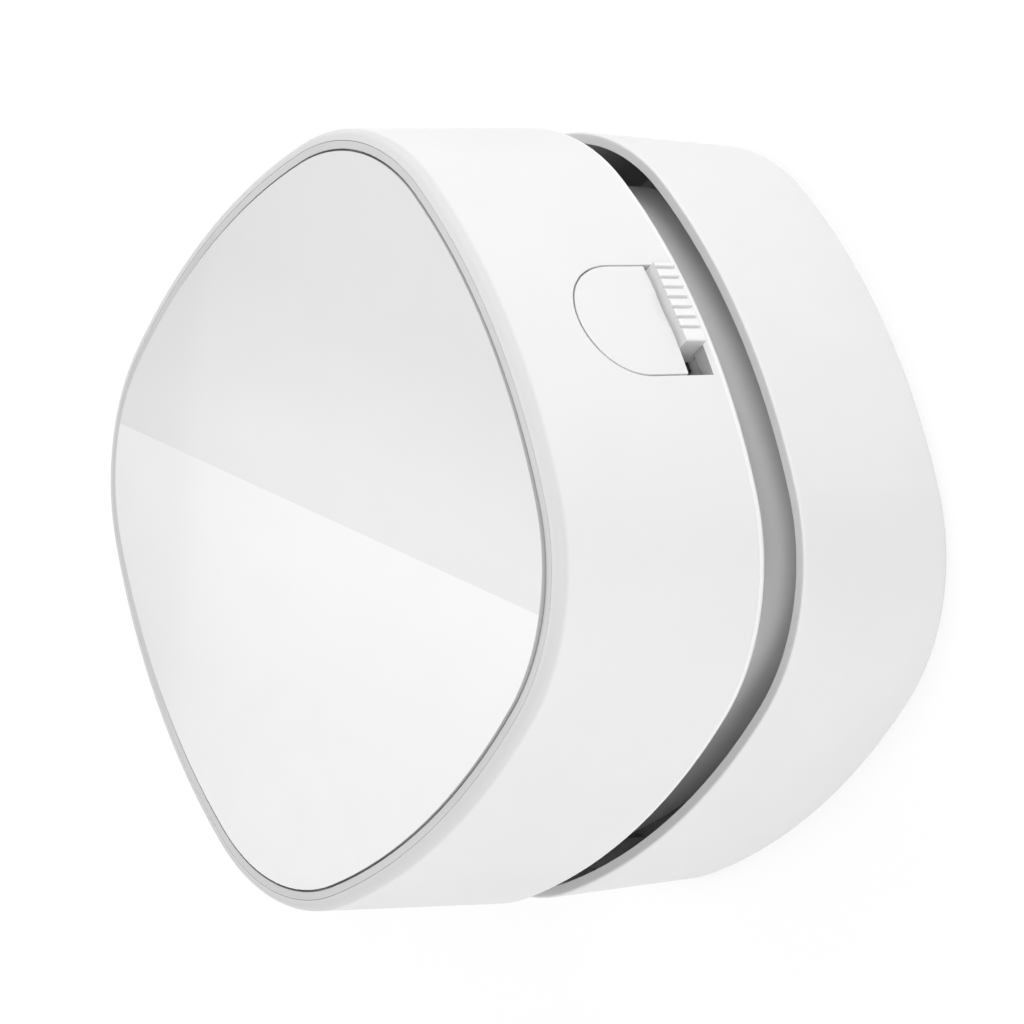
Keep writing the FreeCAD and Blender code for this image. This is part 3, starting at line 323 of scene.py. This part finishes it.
def shell_white():
    """Satin white of the housing, with painted shade on its shoulder and on the upward-facing
    ledges in its slot, and a painted highlight on its rim round.
    """
    made, tree, shader = moulded("shell_white", (0.87, 0.87, 0.872), (0.85, 0.85, 0.853), 0.34)
    # Painted shade: grey on the shoulder round at the top of the housing.
    shoulder_shade = above(tree, HOUSING_TOP_Z - SHOULDER_DOWN, SHOULDER_BLUR)
    repaint(tree, shader, shoulder_shade, (0.74, 0.74, 0.743))
    # Painted highlight: near-white band on the round of the housing's lower rim.
    repaint(tree, shader, below(tree, HOUSING_RIM_Z + RIM_ROUND_UP), (0.98, 0.98, 0.98))
    # Painted shade: grey on the upward-facing ledges in the slot, below the top.
    ledge_shade = math_node(tree, "MULTIPLY", below(tree, HOUSING_TOP_Z - SLOT_DOWN), facing_up(tree))
    repaint(tree, shader, ledge_shade, (0.55, 0.55, 0.553))
    return made


def base_white():
    """Satin white of the base, its open rim's flat in light grey, and painted shade in mid grey on
    its inside.
    """
    made, tree, shader = moulded("base_white", (0.86, 0.86, 0.862), (0.84, 0.84, 0.843), 0.36)
    rim = above(tree, BASE_RIM_Z - BASE_RIM_FLAT_DOWN)
    flat = math_node(tree, "MULTIPLY", rim, facing_up(tree))
    repaint(tree, shader, flat, (0.70, 0.70, 0.703))
    # Painted shade: mid grey on the inner walls and the floor inside the base.
    floor = math_node(tree, "MULTIPLY", below(tree, BASE_RIM_Z - BASE_FLOOR_DOWN), facing_up(tree))
    inside_shade = math_node(tree, "MAXIMUM", facing_inwards(tree), floor)
    repaint(tree, shader, inside_shade, (0.50, 0.50, 0.503))
    return made


def knob_white():
    """Pure white of the slide, with painted shade in light grey on its upper ledge and on the
    floors of its grooves.
    """
    made, tree, shader = moulded("knob_white", (0.94, 0.94, 0.942), (0.92, 0.92, 0.922), 0.34)
    # Painted shade: light grey on the upward-facing ledge of the slide.
    repaint(tree, shader, facing_up(tree), (0.72, 0.72, 0.725))
    # Painted shade: light grey on the floors of the grooves, deeper than the slide's face.
    shade_start_y = KNOB_FACE_Y + GROOVE_SHADE_START
    shade_full_y = KNOB_FACE_Y + GROOVE_SHADE_FULL
    groove_shade = spread(tree, axis_value(tree, "Y"), 0.0, 1.0, shade_start_y, shade_full_y)
    repaint(tree, shader, groove_shade, (0.74, 0.74, 0.743))
    return made


def panel_gloss():
    """Gloss panel: two facets that meet in the fold, with a painted reflection that makes one facet
    lighter than the other and each darker away from the fold, and painted shade on the grey edges.
    """
    made, tree, shader = material("panel_gloss")
    direction = (math.cos(FOLD_ACROSS), math.sin(FOLD_ACROSS), 0.0)
    across = along_direction(tree, place(tree), direction)
    from_fold = math_node(tree, "ADD", across, FOLD_SHIFT)
    # Painted reflection: the facet on one side of the fold is painted lighter than the other.
    lit_side = beyond(tree, from_fold, 0.0, FINE_BLUR)
    far = math_node(tree, "ABSOLUTE", from_fold, 0.0)
    cloud = noise(tree, 28.0, 2.0)
    shifted = math_node(tree, "ADD", far, spread(tree, cloud, -FACET_CLOUD, FACET_CLOUD))
    # Painted reflection: each facet fades darker away from the fold, with a cloudy edge.
    share = spread(tree, shifted, 0.0, 1.0, FACET_PALE_REACH, FACET_DARK_REACH)
    white = mix_colours(tree, share, (0.90, 0.90, 0.902), (0.847, 0.847, 0.849))
    grey = mix_colours(tree, share, (0.785, 0.785, 0.787), (0.69, 0.69, 0.692))
    tree.links.new(mix_colours(tree, lit_side, grey, white), shader.inputs["Base Color"])
    # Painted shade: grey on the panel's edge walls, so the seam round it reads dark.
    repaint(tree, shader, facing(tree, 0.6, 0.3), (0.62, 0.62, 0.625))
    wave = noise(tree, 220.0, 2.0)
    tree.links.new(spread(tree, wave, 0.13, 0.19), shader.inputs["Roughness"])
    shader.inputs["Coat Weight"].default_value = 0.35
    shader.inputs["Coat Roughness"].default_value = 0.05
    height_map(tree, shader, noise(tree, 60.0, 1.0), 0.002 * MM, 0.2)
    return made


def trim_grey():
    """Light-grey satin paint of the ring round the panel."""
    made, _, shader = moulded("trim_grey", (0.62, 0.62, 0.625), (0.58, 0.58, 0.585), 0.28, 9000.0)
    shader.inputs["Coat Weight"].default_value = 0.2
    return made


def neck_plastic():
    """Matt off-white of the recessed neck, with painted shade where it goes down into the base."""
    pale = (0.82, 0.82, 0.82)
    shade = (0.79, 0.79, 0.79)
    made, tree, shader = moulded("neck_plastic", pale, shade, 0.52, 5200.0, 0.006 * MM)
    # Painted shade: darker below the base's rim, deep in the gap.
    neck_shade = below(tree, BASE_RIM_Z - NECK_SHADE_DOWN, NECK_SHADE_BLUR)
    repaint(tree, shader, neck_shade, (0.78, 0.78, 0.78))
    return made


def inner_white():
    """Plain white moulding inside, a little duller than the outer shells."""
    pale = (0.78, 0.78, 0.77)
    shade = (0.74, 0.74, 0.73)
    return moulded("inner_white", pale, shade, 0.48, 4200.0, 0.006 * MM)[0]


def cup_smoke():
    """Smoky translucent plastic of the dust cup."""
    pale = (0.46, 0.47, 0.48)
    shade = (0.40, 0.41, 0.42)
    made, _, shader = moulded("cup_smoke", pale, shade, 0.2, 5000.0, 0.002 * MM)
    shader.inputs["Transmission Weight"].default_value = 0.25
    return made


def frame_grey():
    """Pale grey moulding of the filter frame and the brush ring."""
    pale = (0.58, 0.58, 0.59)
    shade = (0.54, 0.54, 0.55)
    return moulded("frame_grey", pale, shade, 0.42, 4800.0, 0.006 * MM)[0]


def black_plastic():
    """Black glass-filled plastic, with short pale fibres near the surface."""
    dark = (0.025, 0.025, 0.027)
    shade = (0.04, 0.04, 0.043)
    made, tree, shader = moulded("black_plastic", dark, shade, 0.46, 3800.0)
    fibre = noise(tree, 900.0, 3.0, 0.6, (1.0, 6.0, 1.0))
    repaint(tree, shader, spread(tree, fibre, 0.0, 0.5, 0.66, 0.8), (0.11, 0.11, 0.115))
    return made


def metal(name, colour, shade, rough, along):
    """Drawn or turned metal: fine lines along one way and a slow change of tone."""
    made, tree, shader = material(name)
    shader.inputs["Metallic"].default_value = 1.0
    lines = noise(tree, 1600.0, 3.0, 0.6, along)
    cloud = noise(tree, 140.0, 3.0)
    tone = mix_colours(tree, spread(tree, cloud, 0.0, 1.0), colour, shade)
    tree.links.new(tone, shader.inputs["Base Color"])
    tree.links.new(spread(tree, lines, rough - 0.06, rough + 0.08), shader.inputs["Roughness"])
    height_map(tree, shader, lines, 0.003 * MM, 0.5)
    return made, tree, shader


def circuit_board(name, package_z):
    """Green laminate with lacquered copper tracks, and dark packages above a height."""
    made, tree, shader = material(name)
    weave = noise(tree, 2600.0, 2.0)
    share = spread(tree, weave, 0.0, 1.0)
    green = mix_colours(tree, share, (0.010, 0.105, 0.045), (0.016, 0.145, 0.062))
    cells = node(tree, "ShaderNodeTexVoronoi", feature="DISTANCE_TO_EDGE", distance="MANHATTAN")
    cells.inputs["Scale"].default_value = 330.0
    tree.links.new(place(tree), cells.inputs["Vector"])
    track = spread(tree, cells.outputs["Distance"], 1.0, 0.0, 0.05, 0.09)
    copper = mix_colours(tree, track, green, (0.03, 0.22, 0.09))
    tree.links.new(copper, shader.inputs["Base Color"])
    repaint(tree, shader, above(tree, package_z), (0.03, 0.03, 0.032))
    tree.links.new(spread(tree, weave, 0.24, 0.34), shader.inputs["Roughness"])
    height_map(tree, shader, track, 0.03 * MM, 0.6)
    return made


def inlet_metal():
    """Plated shell of the charging inlet, round a black tongue with gilt contacts."""
    low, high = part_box("usb_socket")
    middle = (low.z + high.z) / 2.0
    pale = (0.66, 0.65, 0.62)
    shade = (0.58, 0.57, 0.55)
    made, tree, shader = metal("inlet_metal", pale, shade, 0.22, (8.0, 1.0, 1.0))
    off_z = math_node(tree, "SUBTRACT", axis_value(tree, "Z"), middle)
    near_z = within(tree, off_z, TONGUE_HALF_HEIGHT, FINE_BLUR)
    near_x = within(tree, axis_value(tree, "X"), TONGUE_HALF_WIDTH, FINE_BLUR)
    tongue = math_node(tree, "MULTIPLY", near_z, near_x)
    repaint(tree, shader, tongue, (0.03, 0.03, 0.03))
    stripes = node(tree, "ShaderNodeTexWave", wave_type="BANDS", bands_direction="X")
    stripes.inputs["Scale"].default_value = 300.0
    tree.links.new(place(tree), stripes.inputs["Vector"])
    striped = spread(tree, stripes.outputs["Fac"], 0.0, 1.0, 0.55, 0.65)
    contact = math_node(tree, "MULTIPLY", tongue, striped)
    repaint(tree, shader, contact, (0.75, 0.55, 0.22))
    plain = math_node(tree, "SUBTRACT", tongue, contact)
    tree.links.new(math_node(tree, "SUBTRACT", 1.0, plain), shader.inputs["Metallic"])
    return made


def lead_sleeve():
    """Vinyl of the leads, a little dulled: red ones to the right and black ones to the left."""
    made, tree, shader = material("lead_sleeve")
    cloud = noise(tree, 500.0, 3.0)
    share = spread(tree, cloud, 0.0, 1.0)
    red = mix_colours(tree, share, (0.42, 0.020, 0.016), (0.34, 0.026, 0.020))
    black = mix_colours(tree, share, (0.022, 0.022, 0.024), (0.04, 0.04, 0.042))
    right = beyond(tree, axis_value(tree, "X"), RED_LEAD_X, FINE_BLUR)
    tree.links.new(mix_colours(tree, right, black, red), shader.inputs["Base Color"])
    tree.links.new(spread(tree, cloud, 0.34, 0.5), shader.inputs["Roughness"])
    height_map(tree, shader, noise(tree, 2600.0, 2.0), 0.01 * MM, 0.5)
    return made


def cell_sleeve():
    """Shrink sleeve of the cell: blue film with fine wrinkles towards its ends."""
    made, tree, shader = material("cell_sleeve")
    wrinkle = noise(tree, 420.0, 4.0, 0.6, (1.0, 0.25, 1.0))
    share = spread(tree, wrinkle, 0.0, 1.0)
    film = mix_colours(tree, share, (0.035, 0.16, 0.40), (0.05, 0.20, 0.47))
    off_middle = math_node(tree, "ABSOLUTE", axis_value(tree, "Y"), 0.0)
    end = beyond(tree, off_middle, CELL_SLEEVE_END, SOFT_BLUR)
    tree.links.new(mix_colours(tree, end, film, (0.62, 0.62, 0.60)), shader.inputs["Base Color"])
    tree.links.new(end, shader.inputs["Metallic"])
    tree.links.new(spread(tree, wrinkle, 0.2, 0.34), shader.inputs["Roughness"])
    height_map(tree, shader, wrinkle, 0.05 * MM, 0.5)
    return made


def fan_plastic():
    """Translucent grey nylon of the fan wheel."""
    return moulded("fan_plastic", (0.30, 0.31, 0.33), (0.26, 0.27, 0.29), 0.38, 4200.0)[0]


def rubber():
    """Soft grey rubber of the feet, with a dry bloom."""
    dark = (0.30, 0.30, 0.30)
    bloom = (0.36, 0.36, 0.36)
    made, _, shader = moulded("rubber", dark, bloom, 0.72, 3200.0, 0.02 * MM, 0.3)
    shader.inputs["Sheen Weight"].default_value = 0.15
    return made


def foam():
    """Open-cell foam of the seal: small pores, with painted shade inside them."""
    made, tree, shader = material("foam")
    cells = node(tree, "ShaderNodeTexVoronoi", feature="F1")
    cells.inputs["Scale"].default_value = 2600.0
    tree.links.new(place(tree), cells.inputs["Vector"])
    pore_and_shade = spread(tree, cells.outputs["Distance"], 0.0, 1.0, 0.15, 0.6)
    # Painted shade: darker inside the pores, which are also the dents of the relief.
    tone = mix_colours(tree, pore_and_shade, (0.035, 0.035, 0.037), (0.10, 0.10, 0.105))
    tree.links.new(tone, shader.inputs["Base Color"])
    shader.inputs["Roughness"].default_value = 0.9
    shader.inputs["Sheen Weight"].default_value = 0.3
    height_map(tree, shader, pore_and_shade, 0.15 * MM, 0.8)
    return made


def mesh_wire():
    """Woven nylon thread of the filter."""
    made, tree, shader = material("mesh_wire")
    tint = noise(tree, 700.0, 2.0)
    tone = mix_colours(tree, tint, (0.70, 0.71, 0.72), (0.80, 0.80, 0.80))
    tree.links.new(tone, shader.inputs["Base Color"])
    tree.links.new(spread(tree, tint, 0.3, 0.45), shader.inputs["Roughness"])
    height_map(tree, shader, noise(tree, 8000.0, 2.0), 0.004 * MM, 0.5)
    return made


def bristle_nylon():
    """Nylon of the bristles, paler at the cut tips."""
    made, tree, shader = material("bristle_nylon")
    tip = spread(tree, axis_value(tree, "Z"), 1.0, 0.0, BRISTLE_PALE_Z, BRISTLE_DARK_Z)
    hair = noise(tree, 2400.0, 2.0)
    body = mix_colours(tree, hair, (0.055, 0.055, 0.06), (0.12, 0.12, 0.125))
    tree.links.new(mix_colours(tree, tip, body, (0.26, 0.26, 0.27)), shader.inputs["Base Color"])
    tree.links.new(spread(tree, hair, 0.35, 0.5), shader.inputs["Roughness"])
    return made


def piece(name, mesh, body, finish):
    """Finished mesh as a piece that rides on a body and takes its finish from a slot."""
    made = bpy.data.objects.new(name, mesh)
    bpy.context.scene.collection.objects.link(made)
    mesh.materials.append(finish)
    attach(made, body)
    return made


def tube_along(work, points, radius, sides):
    """Adds a tube of straight-sided section along points, with closed ends."""
    rings = []
    last = len(points) - 1
    for number, point in enumerate(points):
        forward = (points[min(number + 1, last)] - points[max(number - 1, 0)]).normalized()
        side = forward.cross(Vector((0.31, 0.47, 0.83))).normalized()
        other = forward.cross(side)
        ring = []
        for step in range(sides):
            angle = 2.0 * math.pi * step / sides
            offset = side * math.cos(angle) + other * math.sin(angle)
            ring.append(work.verts.new(point + radius * offset))
        rings.append(ring)
    for low, high in zip(rings, rings[1:]):
        for step in range(sides):
            after = (step + 1) % sides
            work.faces.new((low[step], low[after], high[after], high[step]))
    work.faces.new(list(reversed(rings[0])))
    work.faces.new(rings[-1])


def finish_mesh(work, name):
    """Turns a working mesh into a named smooth mesh, with its faces turned outwards."""
    bmesh.ops.recalc_face_normals(work, faces=work.faces)
    mesh = bpy.data.meshes.new(name)
    work.to_mesh(mesh)
    work.free()
    for face in mesh.polygons:
        face.use_smooth = True
    return mesh


def weave_thread(radius, place_across, number, along_x, middle):
    """Points of one thread that goes over and under the threads it crosses."""
    reach = math.sqrt(radius * radius - place_across * place_across)
    crossings = int(reach / WIRE_PITCH)
    points = []
    for crossing in range(-crossings, crossings + 1):
        distance = crossing * WIRE_PITCH
        up = 1.0 if (crossing + number) % 2 else -1.0
        if not along_x:
            up = -up
        height = middle + up * WIRE_RADIUS
        if along_x:
            points.append(Vector((distance, place_across, height)))
        else:
            points.append(Vector((place_across, distance, height)))
    return points


def woven_filter():
    """Plain weave of round threads, cut to the filter's round."""
    low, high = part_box("filter_mesh")
    radius = (high.x - low.x) / 2.0 - WIRE_RADIUS
    middle = (low.z + high.z) / 2.0
    work = bmesh.new()
    count = int(radius / WIRE_PITCH)
    for number in range(-count, count + 1):
        for along_x in (True, False):
            points = weave_thread(radius, number * WIRE_PITCH, number, along_x, middle)
            if len(points) > 2:
                tube_along(work, points, WIRE_RADIUS, 5)
    hem = []
    for step in range(RING_STEPS + 1):
        angle = 2.0 * math.pi * step / RING_STEPS
        hem.append(Vector((radius * math.cos(angle), radius * math.sin(angle), middle)))
    tube_along(work, hem, 2.0 * WIRE_RADIUS, 8)
    made = piece("filter_weave", finish_mesh(work, "filter_weave"), "filter", mesh_wire())
    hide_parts("filter_mesh")


def foam_seal():
    """Foam ring with a crowned section, pressed a little uneven round its run."""
    low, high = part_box("filter_seal")
    half = SEAL_WIDTH / 2.0
    middle = (high.x - low.x) / 2.0 - half
    rise = high.z - low.z
    random.seed(11)
    work = bmesh.new()
    rings = []
    for step in range(RING_STEPS):
        angle = 2.0 * math.pi * step / RING_STEPS
        soft = 1.0 - SEAL_UNEVEN_RISE * random.random()
        ring = []
        for across, up in SEAL_PROFILE:
            radius = middle + half * across * (1.0 - SEAL_UNEVEN_RADIUS * random.random())
            height = low.z + rise * up * soft
            place_x = radius * math.cos(angle)
            place_y = radius * math.sin(angle)
            ring.append(work.verts.new((place_x, place_y, height)))
        rings.append(ring)
    sides = len(SEAL_PROFILE)
    for number, ring in enumerate(rings):
        after = rings[(number + 1) % RING_STEPS]
        for step in range(sides):
            beside = (step + 1) % sides
            work.faces.new((ring[step], ring[beside], after[beside], after[step]))
    made = piece("foam_seal", finish_mesh(work, "foam_seal"), "filter", foam())
    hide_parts("filter_seal")


def turn_of(centre):
    """Angle of a tuft round the upright axis, with the cut at half a turn kept off any tuft."""
    return math.atan2(centre.y + TUFT_CUT_ASIDE, centre.x)


def islands(mesh):
    """Centres of the separate groups of vertices in a mesh, in the same order on each run."""
    work = bmesh.new()
    work.from_mesh(mesh)
    bmesh.ops.remove_doubles(work, verts=work.verts, dist=0.01 * MM)
    unseen = dict.fromkeys(work.verts)
    centres = []
    while unseen:
        group = []
        queue = [unseen.popitem()[0]]
        while queue:
            vertex = queue.pop()
            group.append(vertex.co.copy())
            for edge in vertex.link_edges:
                other = edge.other_vert(vertex)
                if other in unseen:
                    del unseen[other]
                    queue.append(other)
        centres.append(sum(group, Vector()) / len(group))
    work.free()
    return sorted(centres, key=turn_of)


def bristle_filaments():
    """Loose bundles of fine bristles, one for each tuft, splayed a little at their tips."""
    low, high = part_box("bristle_tufts")
    random.seed(5)
    work = bmesh.new()
    for centre in islands(NODES["bristle_tufts"].data):
        for number in range(FILAMENTS):
            angle = GOLDEN_ANGLE * number
            share = math.sqrt((number + 0.5) / FILAMENTS)
            outwards = share * Vector((math.cos(angle), math.sin(angle), 0.0))
            root = Vector((centre.x, centre.y, high.z)) + TUFT_SPREAD * outwards
            stray_x = random.uniform(-TIP_STRAY, TIP_STRAY)
            stray_y = random.uniform(-TIP_STRAY, TIP_STRAY)
            lean = TIP_SPLAY * outwards + Vector((stray_x, stray_y, 0.0))
            tip = Vector((root.x, root.y, low.z + random.uniform(0.0, TIP_UNEVEN))) + lean
            bend = (root + tip) / 2.0 - lean / 4.0
            tube_along(work, [root, bend, tip], FILAMENT_RADIUS, 5)
    mesh = finish_mesh(work, "bristle_filaments")
    made = piece("bristle_filaments", mesh, "base", bristle_nylon())
    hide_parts("bristle_tufts")


def dress_nodes():
    """Gives each CAD node that stays its finish."""
    white = shell_white()
    inner = inner_white()
    black = black_plastic()
    steel = metal("steel", (0.60, 0.60, 0.61), (0.52, 0.52, 0.54), 0.28, (1.0, 1.0, 12.0))[0]
    nickel = metal("nickel", (0.70, 0.68, 0.63), (0.62, 0.60, 0.56), 0.24, (1.0, 8.0, 1.0))[0]
    board_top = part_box("charge_board")[0].z + BOARD_THICKNESS
    grey = frame_grey()
    finishes = {
        "upper_housing": white,
        "trim_ring": trim_grey(),
        "top_panel": panel_gloss(),
        "thumb_plate": white,
        "slide_knob": knob_white(),
        "switch_nub": black,
        "switch_body": black,
        "switch_board": circuit_board("switch_laminate", HOUSING_TOP_Z),
        "fan_chassis": neck_plastic(),
        "chassis_screws": steel,
        "motor_can": steel,
        "motor_end_cap": black,
        "motor_screws": steel,
        "motor_shaft": steel,
        "impeller": fan_plastic(),
        "fan_cover": inner,
        "cover_screws": steel,
        "battery_cell": cell_sleeve(),
        "battery_cradle": inner,
        "battery_contacts": nickel,
        "charge_board": circuit_board("charge_laminate", board_top + PACKAGE_RISE),
        "board_screws": steel,
        "usb_socket": inlet_metal(),
        "wire_leads": lead_sleeve(),
        "filter_frame": grey,
        "dust_cup": cup_smoke(),
        "intake_tube": inner,
        "base_shell": base_white(),
        "brush_ring": grey,
        "rubber_feet": rubber(),
    }
    for name, finish in finishes.items():
        for slot in NODES[name].material_slots:
            slot.material = finish


def camera_or_mirror(tree):
    """Socket that is 1 for what the camera sees straight on, in a mirror or through glass."""
    path = node(tree, "ShaderNodeLightPath")
    seen = math_node(tree, "MAXIMUM", path.outputs["Is Camera Ray"], path.outputs["Is Glossy Ray"])
    return math_node(tree, "MAXIMUM", seen, path.outputs["Is Transmission Ray"])


def make_floor():
    """Plain pale floor, white to the camera, that keeps a share of the shadow near the object."""
    bpy.ops.mesh.primitive_plane_add(size=FLOOR_SIZE)
    floor = bpy.context.object
    floor.name = "floor"
    made, tree, shader = material("floor")
    shader.inputs["Base Color"].default_value = (FLOOR_GREY, FLOOR_GREY, FLOOR_GREY, 1.0)
    shader.inputs["Roughness"].default_value = 1.0
    shader.inputs["Specular IOR Level"].default_value = 0.0
    glow = node(tree, "ShaderNodeEmission")
    glow.inputs["Strength"].default_value = BACKDROP_STRENGTH
    reach = node(tree, "ShaderNodeVectorMath", operation="LENGTH")
    tree.links.new(place(tree), reach.inputs[0])
    glowing = spread(tree, reach.outputs["Value"], 1.0 - SHADOW_SHARE, 1.0, SHADOW_NEAR, SHADOW_FAR)
    share = math_node(tree, "MULTIPLY", camera_or_mirror(tree), glowing)
    mix = node(tree, "ShaderNodeMixShader")
    tree.links.new(share, mix.inputs[0])
    tree.links.new(shader.outputs[0], mix.inputs[1])
    tree.links.new(glow.outputs[0], mix.inputs[2])
    tree.links.new(mix.outputs[0], tree.nodes["Material Output"].inputs["Surface"])
    floor.data.materials.append(made)


def make_world():
    """Even pale surroundings, white to the camera."""
    world = bpy.data.worlds.new("world")
    bpy.context.scene.world = world
    world.use_nodes = True
    tree = world.node_tree
    light = tree.nodes["Background"]
    light.inputs["Color"].default_value = (1.0, 1.0, 1.0, 1.0)
    light.inputs["Strength"].default_value = WORLD_STRENGTH
    white = node(tree, "ShaderNodeBackground")
    white.inputs["Color"].default_value = (1.0, 1.0, 1.0, 1.0)
    white.inputs["Strength"].default_value = 1.0
    mix = node(tree, "ShaderNodeMixShader")
    tree.links.new(camera_or_mirror(tree), mix.inputs[0])
    tree.links.new(light.outputs[0], mix.inputs[1])
    tree.links.new(white.outputs[0], mix.inputs[2])
    tree.links.new(mix.outputs[0], tree.nodes["World Output"].inputs["Surface"])


def softbox(name, azimuth, elevation, distance, size, power, mirrored=False):
    """Square lamp that faces the object from a direction, and shows in gloss where mirrored."""
    data = bpy.data.lights.new(name, "AREA")
    data.shape = "SQUARE"
    data.size = size
    data.energy = power
    lamp = bpy.data.objects.new(name, data)
    bpy.context.scene.collection.objects.link(lamp)
    turn = math.radians(azimuth)
    rise = math.radians(elevation)
    level = math.cos(rise)
    away = Vector((math.cos(turn) * level, math.sin(turn) * level, math.sin(rise)))
    centre = Vector((0.0, 0.0, LOOK_HEIGHT))
    lamp.location = centre + distance * away
    lamp.visible_glossy = mirrored
    lamp.rotation_mode = "QUATERNION"
    lamp.rotation_quaternion = away.to_track_quat("Z", "Y")


def light_scene():
    """Soft studio light from four sides, with a small lamp closer in beside the slide switch."""
    softbox("front", 236.0, 38.0, 0.8, 0.5, 2.40)
    softbox("left", 165.0, 16.0, 0.8, 0.4, 1.90)
    softbox("right", 330.0, 20.0, 0.8, 0.4, 1.88)
    softbox("back", 45.0, 55.0, 0.8, 0.6, 1.81, mirrored=True)
    softbox("near", 296.0, 25.0, 0.4, 0.2, 0.25)


bpy.context.scene.view_settings.view_transform = "Standard"
aim_camera()
make_floor()
make_world()
light_scene()
dress_nodes()
woven_filter()
foam_seal()
bristle_filaments()
